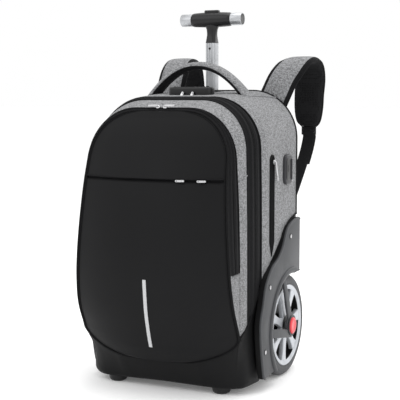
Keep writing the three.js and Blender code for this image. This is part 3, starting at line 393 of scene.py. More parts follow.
@dataclass(frozen=True)
class BeadTape(Finish):
    """Reflective tape: fine glass beads in a grey film."""

    def dress(self, shade: Shade) -> None:
        """Adds the beads."""
        where = shade.place()
        bead = shade.cells(where, 1300)
        streak = shade.noise(shade.place((300, 300, 40)), 1, 3)
        tone = bead * 0.7 + streak * 0.5
        shade.set(Base_Color=shade.blend(tone, self.tinted(1.1), self.tinted(0.86)))
        shade.set(Metallic=0.25, Roughness=self.roughness + streak * 0.15)
        shade.bump(bead, 0.00012, 0.5)


MELANGE = MelangeCloth("melange canvas", (0.235, 0.237, 0.243))
BLACK = PlainCloth("black woven cloth", (0.0075, 0.0075, 0.0083), 0.78)
TAPE_CLOTH = PlainCloth("zip tape", (0.006, 0.006, 0.0067), 0.72, yarn=0.0008)
WEBBING = PlainCloth("webbing", (0.009, 0.009, 0.01), 0.75, yarn=0.0016, depth=0.0006)
PIPING = PlainCloth("piping", (0.0045, 0.0045, 0.005), 0.7, yarn=0.0007)
COATED = CoatedCloth("coated cloth", (0.0042, 0.0042, 0.0047), 0.52)
MESH = AirMesh("spacer mesh", (0.0075, 0.0075, 0.008), 0.85)
BASE = Moulding("moulded base", (0.004, 0.004, 0.0044), 0.5, gloss=0.16)
FENDER = Moulding("fender plastic", (0.047, 0.049, 0.053), 0.42, grain=0.3, gloss=0.35)
GLOSS = Moulding("black plastic", (0.006, 0.006, 0.0065), 0.34, grain=0.15, coat=0.1)
RED = Moulding("red plastic", (0.72, 0.05, 0.065), 0.32, grain=0.1, coat=0.3)
RUBBER = Rubber("tyre rubber", (0.075, 0.076, 0.08), 0.7)
HOUSING = Moulding("port housing", (0.03, 0.03, 0.034), 0.35, grain=0.2)
SILVER = Metal("silver paint", (0.52, 0.54, 0.57), 0.3, metal=0.35, drawn=(70, 70, 70))
ALUMINIUM = Metal("drawn aluminium", (0.46, 0.47, 0.485), 0.32)
PLATED = Metal("plated metal", (0.55, 0.55, 0.56), 0.24, drawn=(300, 300, 300))
TAPE = BeadTape("reflective tape", (0.5, 0.505, 0.515), 0.42)


# ---------------------------------------------------------------- shaping tools


def mix(first: float | Vector, second: float | Vector, share: float) -> float | Vector:
    """A value part of the way from one to another."""
    return first + (second - first) * share


def column(rows: Table, value: float, wanted: int) -> float:
    """A table's column at a value of its first column, straight between rows."""
    if value <= rows[0][0]:
        return rows[0][wanted]
    for low, high in zip(rows, rows[1:]):
        if value <= high[0]:
            return mix(low[wanted], high[wanted], (value - low[0]) / (high[0] - low[0]))
    return rows[-1][wanted]


def eased(rows: Table, value: float, wanted: int, reach: float = 0.03) -> float:
    """The same, with the corners at the rows rounded."""
    return sum(column(rows, value + reach * k / 2, wanted) for k in range(-2, 3)) / 5


def flowing(points: Sequence[Vector], steps: int) -> list[Vector]:
    """A smooth line through points.

    Args:
        points: The points.
        steps: Pieces between two of them.

    Returns:
        The line's points, from the first to the last.
    """
    ends = [points[0] * 2 - points[1], *points, points[-1] * 2 - points[-2]]
    line = []
    for a, b, c, d in zip(ends, ends[1:], ends[2:], ends[3:]):
        for k in range(steps):
            t = k / steps
            bend, twist = 2 * a - 5 * b + 4 * c - d, 3 * b - a - 3 * c + d
            line.append(0.5 * (2 * b + (c - a) * t + bend * t**2 + twist * t**3))
    return [*line, points[-1].copy()]


def outward(surface: Surface, u: float, v: float, reach: float = 0.002) -> Vector:
    """Direction out of a surface at a place."""
    along = surface(min(u + reach, 1), v) - surface(max(u - reach, 0), v)
    up = surface(u, min(v + reach, 1)) - surface(u, max(v - reach, 0))
    return along.cross(up).normalized()


def skin(
    surface: Surface,
    columns: int,
    rows: int,
    lift: Callable[[float, float], float] | None = None,
    wrap: bool = False,
) -> BMesh:
    """A grid laid on a surface.

    Args:
        surface: Point of the surface by two shares.
        columns: Faces along the first share.
        rows: Faces along the second.
        lift: How far a place stands off the surface.
        wrap: Whether its edges meet and are merged.

    Returns:
        The mesh.
    """
    bm = bmesh.new()
    bmesh.ops.create_grid(bm, x_segments=columns, y_segments=rows, size=1)
    for vert in bm.verts:
        u, v = (vert.co.x + 1) / 2, (vert.co.y + 1) / 2
        point = surface(u, v)
        if lift:
            point = point + outward(surface, u, v) * lift(u, v)
        vert.co = point
    if wrap:
        bmesh.ops.remove_doubles(bm, verts=bm.verts[:], dist=0.01)
    return bm


def lattice(lines: Sequence[Sequence[Vector]]) -> BMesh:
    """A skin through lines of points, all with the same number of points."""
    last, top = len(lines) - 1, len(lines[0]) - 1
    return skin(lambda u, v: lines[round(u * last)][round(v * top)], last, top)


def close(bm: BMesh) -> BMesh:
    """Fills a mesh's open ends and turns its faces outwards."""
    bmesh.ops.remove_doubles(bm, verts=bm.verts[:], dist=0.005)
    edges = [edge for edge in bm.edges if edge.is_boundary]
    if edges:
        bmesh.ops.holes_fill(bm, edges=edges, sides=0)
    bmesh.ops.recalc_face_normals(bm, faces=bm.faces[:])
    return bm


def sweep(
    path: Sequence[Vector],
    section: Section,
    sides: int = 10,
    across: Vector | None = None,
    loop: bool = False,
) -> BMesh:
    """A closed bar along a path.

    Args:
        path: The centre line.
        section: Offsets across and out of the path, by the share of the way and the turn round it.
        sides: Faces round the bar.
        across: Direction that the section's first offset keeps to, where it has one.
        loop: Whether the path is closed.

    Returns:
        The mesh.
    """
    last = len(path) - 1
    frames, side = [], across or path[1] - path[0]
    if not across:
        side = side.orthogonal()
    for k in range(len(path)):
        before = path[k - 1] if k or loop else path[0]
        after = path[(k + 1) % len(path)] if k < last or loop else path[last]
        along = (after - before).normalized()
        side = (across or side) - along * (across or side).dot(along)
        side.normalize()
        frames.append((side.copy(), side.cross(along)))
    rows = last + 1 if loop else last

    def surface(u: float, v: float) -> Vector:
        """Point of the bar's skin."""
        k = round(v * rows)
        wide, out = section(k / rows, u * 2 * math.pi)
        side, up = frames[k % len(path)]
        return path[k % len(path)] + side * wide + up * out

    bm = skin(surface, sides, rows, wrap=True)
    return close(bm)


def round_section(radius: float, flat: float = 1.0) -> Section:
    """A round or oval section for a sweep."""
    return lambda share, turn: (radius * math.cos(turn), radius * flat * math.sin(turn))


def squircle(turn: float, power: float) -> tuple[float, float]:
    """Point of a rounded square.

    Args:
        turn: The angle that it is seen at from the middle of a circle.
        power: 2 for a circle, more for a squarer shape.

    Returns:
        Its two offsets, up to 1.
    """
    c, s = math.cos(turn), math.sin(turn)
    scale = (abs(c) ** power + abs(s) ** power) ** (-1 / power)
    return c * scale, s * scale


def box_section(half: float, thick: float, power: float = 8) -> Section:
    """A flat section with rounded corners for a sweep.

    Args:
        half: Half its width.
        thick: Its thickness.
        power: How square its corners are.

    Returns:
        The section.
    """

    def section(share: float, turn: float) -> tuple[float, float]:
        """Offsets of the section."""
        wide, deep = squircle(turn + math.pi / 4, power)
        return half * wide, thick / 2 * deep

    return section


def lathe(profile: Sequence[tuple[float, float]], centre: Vector, axis: Vector, steps: int = 72) -> BMesh:
    """A turned shape.

    Args:
        profile: Radius and place along the axis of each point.
        centre: Where the axis starts.
        axis: Its direction.
        steps: Faces round it.

    Returns:
        The mesh.
    """
    bm = bmesh.new()
    side = axis.orthogonal().normalized()
    verts = [bm.verts.new(centre + side * radius + axis * along) for radius, along in profile]
    edges = [bm.edges.new(pair) for pair in zip(verts, verts[1:])]
    if profile[0][0] > 0.01:
        edges.append(bm.edges.new((verts[-1], verts[0])))
    bmesh.ops.spin(
        bm,
        geom=verts + edges,
        cent=centre,
        axis=axis,
        angle=2 * math.pi,
        steps=steps,
        use_merge=True,
        use_duplicate=False,
    )
    bmesh.ops.remove_doubles(bm, verts=bm.verts[:], dist=0.001)
    bmesh.ops.recalc_face_normals(bm, faces=bm.faces[:])
    return bm


def grow(bm: BMesh, faces: list[bmesh.types.BMFace], depth: Vector) -> None:
    """Makes faces into a solid.

    Args:
        bm: The mesh that they are in.
        faces: The faces, which become its base.
        depth: How far and which way it grows.
    """
    grown = bmesh.ops.extrude_face_region(bm, geom=faces, use_keep_orig=True)
    moved = [part for part in grown["geom"] if isinstance(part, bmesh.types.BMVert)]
    bmesh.ops.translate(bm, verts=moved, vec=depth)
    bmesh.ops.recalc_face_normals(bm, faces=bm.faces[:])


def holed(outline: Sequence[Vector], hole: Sequence[Vector], tall: float) -> BMesh:
    """A plate or a tube with a hole through it.

    Args:
        outline: Its level outline.
        hole: The hole's outline.
        tall: How far it grows upwards.

    Returns:
        The mesh.
    """
    bm = bmesh.new()
    edges = []
    for line in (outline, hole):
        verts = [bm.verts.new(point) for point in line]
        edges += [bm.edges.new(pair) for pair in zip(verts, verts[1:] + verts[:1])]
    bmesh.ops.triangle_fill(bm, use_beauty=True, edges=edges)
    grow(bm, bm.faces[:], Z_AXIS * tall)
    return bm


def slab(outline: Sequence[Vector], depth: Vector, bevel: float = 0.0, segments: int = 2) -> BMesh:
    """A plate of any outline, grown in one direction, with rounded edges.

    Args:
        outline: Its points in order.
        depth: How far and which way it grows.
        bevel: Width of its rounded edges.
        segments: Faces across them.

    Returns:
        The mesh.
    """
    bm = bmesh.new()
    face = bm.faces.new([bm.verts.new(point) for point in outline])
    grow(bm, [face], depth)
    if bevel:
        edges = [edge for edge in bm.edges if edge.calc_face_angle(0) > 0.6]
        bmesh.ops.bevel(
            bm,
            geom=edges,
            offset=bevel,
            offset_type="OFFSET",
            segments=segments,
            profile=0.5,
            affect="EDGES",
            clamp_overlap=True,
            material=-1,
        )
    return bm


def rounded(width: float, height: float, radius: float, steps: int = 6) -> list[tuple[float, float]]:
    """Points of a rectangle with rounded corners, round its middle."""
    points = []
    for corner, (sx, sy) in enumerate(((1, 1), (-1, 1), (-1, -1), (1, -1))):
        for k in range(steps + 1):
            turn = (corner + k / steps) * QUARTER
            x = sx * (width / 2 - radius) + radius * math.cos(turn)
            points.append((x, sy * (height / 2 - radius) + radius * math.sin(turn)))
    return points


def on_x(points: Sequence[tuple[float, float]], x: float, y: float = 0, z: float = 0) -> list[Vector]:
    """Points drawn in (Y, Z), put at an X."""
    return [Vector((x, y + a, z + b)) for a, b in points]


def on_z(points: Sequence[tuple[float, float]], z: float, x: float = 0, y: float = 0) -> list[Vector]:
    """Points drawn in (X, Y), put at a height."""
    return [Vector((x + a, y + b, z)) for a, b in points]


@dataclass
class Piece:
    """A named piece: its parts, the body that it rides on and the nodes that it stands for."""

    name: str
    slot: Slot
    finishes: tuple[Finish, ...]
    body: str = "bag"
    nodes: tuple[str, ...] = ()
    crisp: float = 38
    mirror: bool = False
    mesh: BMesh = field(default_factory=bmesh.new)

    def add(self, part: BMesh, finish: int = 0, painter: Callable[[Vector], int] | None = None) -> "Piece":
        """Joins a part to the piece.

        Args:
            part: The part, which is used up.
            finish: Which of the finishes it takes.
            painter: Chooses the finish by a face's direction instead.

        Returns:
            The piece.
        """
        part.normal_update()
        for face in part.faces:
            face.material_index = painter(face.normal) if painter else finish
        bmesh.ops.transform(part, matrix=TO_ROW, verts=part.verts[:])
        if self.mirror:
            bmesh.ops.scale(part, vec=(-1, 1, 1), verts=part.verts[:])
            bmesh.ops.reverse_faces(part, faces=part.faces[:])
        carrier = bpy.data.meshes.new("carrier")
        part.to_mesh(carrier)
        self.mesh.from_mesh(carrier)
        bpy.data.meshes.remove(carrier)
        part.free()
        return self

    def make(self) -> bpy.types.Object:
        """Turns the parts into the finished object.

        Returns:
            The object, on its body.
        """
        data = bpy.data.meshes.new(self.name)
        self.mesh.to_mesh(data)
        self.mesh.free()
        for finish in self.finishes:
            data.materials.append(finish.material())
        data.polygons.foreach_set("use_smooth", [True] * len(data.polygons))
        data.set_sharp_from_angle(angle=math.radians(self.crisp))
        piece = bpy.data.objects.new(self.name, data)
        bpy.context.scene.collection.objects.link(piece)
        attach(piece, self.body)
        if self.nodes:
            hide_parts(*self.nodes)
        log.info("%s: %d faces", self.name, len(data.polygons))
        return piece


def paired(
    label: str,
    node: str,
    slot: Slot,
    finishes: tuple[Finish, ...],
    side: Side,
    body: str = "bag",
    crisp: float = 38,
) -> Piece:
    """One piece of a right and left pair.

    Args:
        label: The piece's name without its side.
        node: The same for the node that it stands for.
        slot: Its slot.
        finishes: Its finishes.
        side: The side's name, and whether it is the mirrored one.
        body: The body that it rides on.
        crisp: Angle in degrees from which its edges are sharp.

    Returns:
        The piece, with no parts yet.
    """
    name, mirror = side
    return Piece(f"{label}_{name}", slot, finishes, body, (f"{node}_{name}",), crisp, mirror)


def thicken(piece: bpy.types.Object, wall: float) -> None:
    """Gives a skin its wall, in millimetres."""
    solid = piece.modifiers.new("wall", "SOLIDIFY")
    solid.thickness = wall / 1000
    solid.offset = -1


def soften(piece: bpy.types.Object) -> None:
    """Adds one subdivision."""
    subdivision = piece.modifiers.new("smooth", "SUBSURF")
    subdivision.levels = 1
    subdivision.render_levels = 1


# ---------------------------------------------------------------- the bag's shape


@dataclass(frozen=True)
class Ring:
    """One ring of the bag: half width, narrowing at the shoulder, top, and its three places."""

    half: float
    lean: float
    top: float
    side: float
    shoulder: float
    crest: float

    def toward(self, other: "Ring", share: float) -> "Ring":
        """A ring part of the way to another."""
        pairs = zip(vars(self).values(), vars(other).values())
        return Ring(*(mix(a, b, share) for a, b in pairs))


@dataclass(frozen=True)
class BagShape:
    """The surfaces that the bag's pieces are cut from, as the part gives them."""

    half_width: float = 155
    top: float = 505
    back: float = 76
    shoulder: float = 85
    depth: float = 158
    zip_width: float = 48
    gusset_width: float = 28
    fall: float = 12
    panel_half: float = 147
    panel_top: float = 473
    panel_bottom: float = 54
    corner: float = 46
    corner_reach: float = 95
    corner_power: float = 1.6
    panel_radius: float = 85
    setback: float = 190
    bulge: float = 26
    crown_power: float = 2.6
    zip_end: float = 210
    well_front: float = -65.2

    side_share = 0.45
    arc_share = 0.82
    split_share = 0.08

    # Height share, then half width, edge and crown of the panel as shares of its sizes
    panel_rows = (
        (0, 0.985, 0.895, 0.05),
        (0.03, 0.987, 0.86, 0.85),
        (0.07, 0.99, 0.83, 1.3),
        (0.11, 0.998, 0.828, 1.55),
        (0.16, 1, 0.89, 1.3),
        (0.205, 0.996, 0.937, 1.15),
        (0.25, 0.988, 0.968, 1.02),
        (0.35, 0.97, 1, 0.95),
        (0.45, 0.953, 1, 0.92),
        (0.55, 0.932, 0.989, 0.85),
        (0.65, 0.912, 0.965, 0.78),
        (0.73, 0.896, 0.938, 0.7),
        (0.83, 0.88, 0.88, 0.6),
        (0.92, 0.87, 0.845, 0.35),
        (1, 0.86, 0.79, 0),
    )
    # Place behind the front as a share of the depth, then height of the side border
    border_rows = (
        (0, 0.567),
        (0.24, 0.55),
        (0.35, 0.53),
        (0.5, 0.49),
        (0.7, 0.44),
        (0.88, 0.4),
        (1, 0.36),
        (1.14, 0.305),
        (1.3, 0.238),
        (1.42, 0.212),
        (1.475, 0.198),
    )

    @property
    def main_zip(self) -> float:
        """Y of the main zip's back edge."""
        return self.back - self.depth

    @property
    def low(self) -> float:
        """Height where the panel's lower corners start."""
        return self.panel_bottom + self.corner

    @property
    def high(self) -> float:
        """Height where its upper corners start."""
        return self.panel_top - self.panel_radius

    def even(self, half: float, y: float) -> Ring:
        """A flat ring at a Y."""
        return Ring(half, 0, self.top_at(y), y, y, y)

    def top_at(self, y: float) -> float:
        """Height of the bag's top at a Y."""
        return self.top - self.fall * (self.back - y) / self.depth

    @property
    def rings(self) -> tuple[Ring, ...]:
        """The rings from the back edge to the front zip."""
        gusset = self.main_zip - self.zip_width
        front = gusset - self.gusset_width
        w = self.half_width
        return (
            self.even(w, self.back),
            self.even(w, mix(self.back, self.main_zip, 0.3)),
            self.even(w - 1, mix(self.back, self.main_zip, 0.6)),
            self.even(w - 2, self.well_front),
            self.even(w - 3, self.well_front - 5.6),
            Ring(w - 4, 2, self.top_at(self.main_zip), self.main_zip, self.main_zip, self.main_zip),
            Ring(
                w - 8,
                7,
                self.top - self.fall * 1.35,
                gusset,
                gusset + self.zip_width * 0.22,
                gusset + self.zip_width * 0.48,
            ),
            Ring(
                w - 12,
                8,
                self.panel_top + 2.5,
                front + self.gusset_width * 0.15,
                front + self.gusset_width * 0.28,
                gusset - self.gusset_width * 0.57,
            ),
        )

    def border(self, y: float) -> float:
        """Height where the grey cloth ends at a Y."""
        return self.top * eased(self.border_rows, (self.back - y) / self.depth, 1, 0.05)

    def edge_half(self, z: float) -> float:
        """The panel's half width at a height."""
        return self.panel_half * eased(self.panel_rows, self._up(z), 1)

    def edge_y(self, z: float) -> float:
        """Y of the panel's edge at a height."""
        return -self.setback * eased(self.panel_rows, self._up(z), 2)

    def _up(self, z: float) -> float:
        """A height as a share of the panel's."""
        return (z - self.panel_bottom) / (self.panel_top - self.panel_bottom)

    def panel_y(self, x: float, z: float, half: float | None = None) -> float:
        """Y of the panel's face at a place."""
        across = min(1.0, abs(x) / (half or self.edge_half(z)))
        rise = eased(self.panel_rows, self._up(z), 3)
        return self.edge_y(z) - self.bulge * rise * (1 - across**self.crown_power)

    def shoulder_point(self, turn: float, inset: float = 0) -> tuple[float, float]:
        """Half width and height round an upper corner of the panel."""
        radius = self.panel_radius - inset
        half = self.edge_half(self.high) - self.panel_radius + radius * math.cos(turn)
        return half, self.high + radius * math.sin(turn)

    def corner_point(self, turn: float, inset: float = 0) -> tuple[float, float]:
        """Half width and height round a lower corner of the panel."""
        power = 2 / self.corner_power
        reach = (self.corner_reach - inset) * max(0.0, math.cos(turn)) ** power
        drop = (self.corner - inset) * max(0.0, math.sin(turn)) ** power
        return self.edge_half(self.low) - self.corner_reach + reach, self.low - drop

    def _climb(self, share: float, low: float, high: float, split: bool) -> float:
        """Height on a ring's side by the share of its half outline."""
        if not split:
            return mix(low, high, share / self.side_share)
        if share < self.split_share:
            return mix(low, self.zip_end, share / self.split_share)
        way = (share - self.split_share) / (self.side_share - self.split_share)
        return mix(self.zip_end, high, way)

    def half_ring(self, ring: Ring, share: float, split: bool) -> Vector:
        """Point of a ring's right half, from its foot to the top's middle."""
        side_top = ring.top - self.shoulder
        flat = ring.half - ring.lean - self.shoulder
        if share <= self.side_share:
            low = self.border(ring.side)
            z = self._climb(share, low, side_top, split)
            lean = max(0.0, (z - low) / (side_top - low)) ** 3
            return Vector((ring.half - ring.lean * lean, mix(ring.side, ring.shoulder, lean), z))
        if share <= self.arc_share:
            turn = (share - self.side_share) / (self.arc_share - self.side_share) * QUARTER
            y = mix(ring.shoulder, ring.crest, math.sin(turn) ** 1.5)
            x = flat + self.shoulder * math.cos(turn)
            return Vector((x, y, side_top + self.shoulder * math.sin(turn)))
        return Vector((flat * (1 - share) / (1 - self.arc_share), ring.crest, ring.top))

    def half_panel(self, share: float) -> Vector:
        """The same for the panel's edge."""
        if share <= self.side_share:
            z = self._climb(share, self.low, self.high, True)
            half = self.edge_half(z)
        elif share <= self.arc_share:
            turn = (share - self.side_share) / (self.arc_share - self.side_share) * QUARTER
            half, z = self.shoulder_point(turn)
        else:
            half, z = self.shoulder_point(QUARTER)
            half *= (1 - share) / (1 - self.arc_share)
        return Vector((half, self.edge_y(z), z))

    def hide(self, depth: float, around: float) -> Vector:
        """Point of the bag's skin.

        Args:
            depth: Number of the ring, with parts between rings; 8 is the panel's edge.
            around: From 0 at the right foot over the top to 1 at the left foot.

        Returns:
            The point.
        """
        share = 2 * min(around, 1 - around)
        k = min(int(depth), 6)
        ring = self.rings[k].toward(self.rings[k + 1], min(depth - k, 1))
        point = self.half_ring(ring, share, depth >= 5)
        if depth > 7:
            point = mix(point, self.half_panel(share), depth - 7)
        if around > 0.5:
            point.x = -point.x
        return point


BAG = BagShape()


def along_hide(depth: float, steps: int, start: float = 0.0, lift: float = 0.0) -> list[Vector]:
    """A line on the skin at one depth, from foot to foot.

    Args:
        depth: Number of the ring.
        steps: Pieces of the line.
        start: Share where it starts, and where it ends counted from the other foot.
        lift: How far it stands off.

    Returns:
        Its points.
    """

    def surface(u: float, v: float) -> Vector:
        """The skin near this depth."""
        return BAG.hide(max(0, min(8, depth + v - 0.5)), u)

    places = [mix(start, 1 - start, k / steps) for k in range(steps + 1)]
    return [BAG.hide(depth, u) + outward(surface, u, 0.5, 0.01) * lift for u in places]


def panel_loop(inset: float, lift: float) -> list[Vector]:
    """The panel's whole outline, as a closed line.

    Args:
        inset: How far inside the edge it runs.
        lift: How far in front of it.

    Returns:
        Its points.
    """
    half = [BAG.shoulder_point(QUARTER * (1 - k / 14), inset) for k in range(15)]
    half += [(BAG.edge_half(z) - inset, z) for z in (mix(BAG.high, BAG.low, k / 30) for k in range(1, 30))]
    half += [BAG.corner_point(QUARTER * k / 14, inset) for k in range(15)]
    points = [Vector((x, BAG.edge_y(z) - lift, z)) for x, z in half]
    return points + [Vector((-p.x, p.y, p.z)) for p in reversed(points)]


def coil(path: Sequence[Vector], radius: float) -> BMesh:
    """A zip's closed coil: a thin bar with a tooth at every second point of its path."""

    def section(share: float, turn: float) -> tuple[float, float]:
        """Offsets of the coil."""
        tooth = 1 if round(share * (len(path) - 1)) % 2 else 0.66
        return radius * tooth * math.cos(turn), radius * 0.8 * tooth * math.sin(turn)

    return sweep(path, section, sides=6)


@dataclass
class BagBody:
    """Grey body of the main compartment, with its seams and piping."""

    wall: float = 2.2
    puff: float = 1.6
    hole: tuple[float, float] = (12.7, 14.7)
    pole: float = 52
    piping: float = 1.5

    def make(self) -> None:
        """Builds the body and its piping."""

        def surface(u: float, v: float) -> Vector:
            """The body's skin, back to front."""
            return BAG.hide(v * 5 * 0.9999, u)

        def lift(u: float, v: float) -> float:
            """Softness between the seams."""
            return self.puff * math.sin(math.pi * v) ** 0.7

        shell = skin(surface, 148, 30, lift)
        for axis, place in ((X_AXIS, self.hole[0]), (X_AXIS, -self.hole[0])):
            self._cut(shell, Vector((place, 0, 0)), axis)
        for place in (self.pole - self.hole[1], self.pole + self.hole[1]):
            self._cut(shell, Vector((0, place, 0)), Y_AXIS)
        inside = [face for face in shell.faces if self._in_hole(face.calc_center_median())]
        bmesh.ops.delete(shell, geom=inside, context="FACES")
        body = Piece("bag_body", Slot.MELANGE, (MELANGE,), nodes=("body_shell",), crisp=60).add(shell).make()
        thicken(body, self.wall)
        cord = Piece("bag_piping", Slot.BLACK, (PIPING,))
        for depth in (0.0, 5.0, 6.0):
            cord.add(sweep(along_hide(depth, 150, lift=0.5), round_section(self.piping), 8))
        low = BAG.split_share / 2
        cord.add(sweep(along_hide(7.0, 150, low, 0.4), round_section(1.0), 8))
        cord.add(sweep(panel_loop(1.1, 0.4), round_section(2.0), 10, loop=True))
        cord.add(sweep(panel_loop(4.4, 1.4), round_section(1.1), 8, loop=True))
        cord.make()
        self._seams()

    def _cut(self, mesh: BMesh, place: Vector, normal: Vector) -> None:
        """Cuts the mesh along a plane."""
        geometry = mesh.verts[:] + mesh.edges[:] + mesh.faces[:]
        bmesh.ops.bisect_plane(mesh, geom=geometry, dist=0.001, plane_co=place, plane_no=normal)

    def _in_hole(self, point: Vector) -> bool:
        """Whether a place is in the hole for the handle."""
        inside = abs(point.x) < self.hole[0] and abs(point.y - self.pole) < self.hole[1]
        return inside and point.z > BAG.top - 40

    def _seams(self) -> None:
        """Builds the curved shoulder seams and the border's double line."""
        seams = Piece("body_seams", Slot.MELANGE, (MELANGE, PIPING))
        for sign in (1, -1):
            line = []
            for k in range(25):
                share = k / 24
                around = mix(0.376, 0.345, share**1.4)
                depth = mix(2.4, 0.05, share)
                point = BAG.hide(depth, around)
                line.append(Vector((sign * (point.x + 1.5), point.y, point.z + 1)))
            seams.add(sweep(line, round_section(1.1), 6))
            border = []
            for k in range(81):
                point = BAG.hide(7.99 * k / 80, 0)
                border.append(Vector((sign * (point.x + 1.2), point.y, point.z)))
            seams.add(sweep(border, round_section(1.5), 6), 1)
        seams.make()


@dataclass
class ZipBands:
    """Black bands of the two compartment zips, with lips and coils."""

    wall: float = 2.0
    lip: float = 2.4

    def make(self) -> None:
        """Builds both bands and their coils."""
        main = skin(lambda u, v: BAG.hide(5 + v, u), 150, 28, lambda u, v: self.profile(v))
        band = Piece("main_zip", Slot.BLACK, (TAPE_CLOTH,), nodes=("main_zip_band",), crisp=70)
        thicken(band.add(main).make(), self.wall)
        start = BAG.split_share / 2
        front = skin(
            lambda u, v: BAG.hide(7 + v, mix(start, 1 - start, u)),
            140,
            22,
            lambda u, v: self.profile(v) * 0.8,
        )
        band = Piece("front_zip", Slot.BLACK, (TAPE_CLOTH,), nodes=("front_zip_band",), crisp=70)
        thicken(band.add(front).make(), self.wall)
        coils = Piece("zip_coils", Slot.BLACK, (PIPING,), crisp=80)
        coils.add(coil(along_hide(5.5, 760, lift=1.0), 1.7))
        coils.add(coil(along_hide(7.5, 700, start, 1.2), 1.5))
        coils.make()

    def profile(self, across: float) -> float:
        """Height of the band's face above the skin, across it."""
        height = 0.5 * math.sin(math.pi * across)
        for middle in (0.3, 0.7):
            height += self.lip * math.exp(-(((across - middle) / 0.1) ** 2))
        for middle in (0.42, 0.58):
            height += self.lip * 0.7 * math.exp(-(((across - middle) / 0.035) ** 2))
        return height


@dataclass
class FrontGusset:
    """Grey gusset between the two zips."""

    wall: float = 2.2
    puff: float = 1.6

    def make(self) -> None:
        """Builds the gusset with its low ends beside the panel."""
        piece = Piece("gusset", Slot.MELANGE, (MELANGE,), nodes=("front_gusset",), crisp=60)
        piece.add(skin(lambda u, v: BAG.hide(6 + v * 0.9999, u), 150, 10, self.lift))
        ends = BAG.split_share / 2
        piece.add(skin(lambda u, v: BAG.hide(7 + v, u * ends), 10, 8))
        piece.add(skin(lambda u, v: BAG.hide(7 + v, 1 - ends + u * ends), 10, 8))
        thicken(piece.make(), self.wall)
        cross = Piece("gusset_seams", Slot.MELANGE, (MELANGE,))
        for sign in (1, -1):
            line = [BAG.hide(6.05 + k * 0.09, 0.19) for k in range(11)]
            shifted = [Vector((sign * (p.x + 1.6), p.y, p.z)) for p in line]
            cross.add(sweep(shifted, round_section(0.9), 6))
        cross.make()

    def lift(self, u: float, v: float) -> float:
        """Softness across the gusset."""
        return self.puff * math.sin(math.pi * v) ** 0.8


@dataclass
class FrontPanel:
    """Coated front panel in two parts, with the pocket's zip between them."""

    wall: float = 2.2
    inset: float = 2.0
    proud: float = 3.0
    zip_height: float = 361
    slot: float = 5
    pulls: tuple[float, float] = (0.45, 0.72)
    strip: tuple[float, float] = (82, 198)

    def make(self) -> None:
        """Builds both parts, the zip and its pulls."""
        low, high = self.zip_height - self.slot / 2, self.zip_height + self.slot / 2

        def upper(v: float) -> tuple[float, float]:
            """Half width and height of the flap by the share of its height."""
            if v < 0.2:
                z = mix(high - 1.5, BAG.high, v / 0.2)
                return BAG.edge_half(z) - self.inset, z
            return BAG.shoulder_point((v - 0.2) / 0.8 * QUARTER, self.inset)

        def lower(v: float) -> tuple[float, float]:
            """The same for the lower part."""
            if v < 0.3:
                return BAG.corner_point((1 - v / 0.3) * QUARTER, self.inset)
            z = mix(BAG.low, low, (v - 0.3) / 0.7)
            return BAG.edge_half(z) - self.inset, z

        for name, rows, proud, node in (
            ("panel_upper", upper, self.proud, "front_panel_upper"),
            ("panel_lower", lower, 0.0, "front_panel_lower"),
        ):
            sheet = skin(self._surface(rows, proud), 56, 64)
            piece = Piece(name, Slot.COATED, (COATED,), nodes=(node,), crisp=70).add(sheet).make()
            thicken(piece, self.wall)
        self._zip()
        self._strip()

    def _surface(self, rows: Callable[[float], tuple[float, float]], proud: float) -> Surface:
        """The panel's face between two heights."""

        def surface(u: float, v: float) -> Vector:
            """A point of it."""
            half, z = rows(v)
            share = math.sin((2 * u - 1) * QUARTER)
            x = half * share
            y = BAG.panel_y(x, z, half) - proud * (1 - share**4) * (1 - 0.7 * v**6)
            return Vector((x, y, z))

        return surface

    def _line(self, start: float, end: float, z: float, back: float, steps: int = 60) -> list[Vector]:
        """A level line over the panel's face, by shares of its half width."""
        half = BAG.edge_half(z)
        points = [mix(start, end, k / steps) * half for k in range(steps + 1)]
        return [Vector((x, BAG.panel_y(x, z) + back, z)) for x in points]

    def _zip(self) -> None:
        """The pocket's tape, coil, lip and pulls."""
        tape = Piece("pocket_zip_tape", Slot.BLACK, (TAPE_CLOTH, PIPING), nodes=("pocket_zip",))
        under = self._line(-0.95, 0.95, self.zip_height, 3.4)
        tape.add(sweep(under, box_section(7.4, 1.1), 12, across=Z_AXIS))
        tape.add(coil(self._line(-0.93, 0.93, self.zip_height, 2.2, 300), 1.6), 1)
        tape.add(sweep(self._line(-0.955, 0.955, self.zip_height + 2, -1.6), round_section(1.1), 8), 1)
        tape.make()
        for name, share in zip(("inner", "outer"), self.pulls):
            x = share * BAG.edge_half(self.zip_height)
            place = Vector((x, BAG.panel_y(x, self.zip_height), self.zip_height))
            ahead = Vector((x + 5, BAG.panel_y(x + 5, self.zip_height), self.zip_height))
            place.z -= 1.2
            ahead.z -= 1.2
            slider = Slider(place, (ahead - place).normalized(), -Y_AXIS, tab=11, width=4.6)
            slider.make(f"pocket_slider_{name}", f"pocket_zip_pull_{name}")

    def _strip(self) -> None:
        """The reflective strip on the lower part."""
        path = []
        for k in range(31):
            z = mix(*self.strip, k / 30)
            path.append(Vector((0, BAG.panel_y(0, z) - 0.6, z)))
        strip = Piece("reflective_band", Slot.TAPE, (TAPE,), nodes=("reflective_strip",))
        strip.add(sweep(path, box_section(3.1, 1.2, 10), 12, across=X_AXIS)).make()


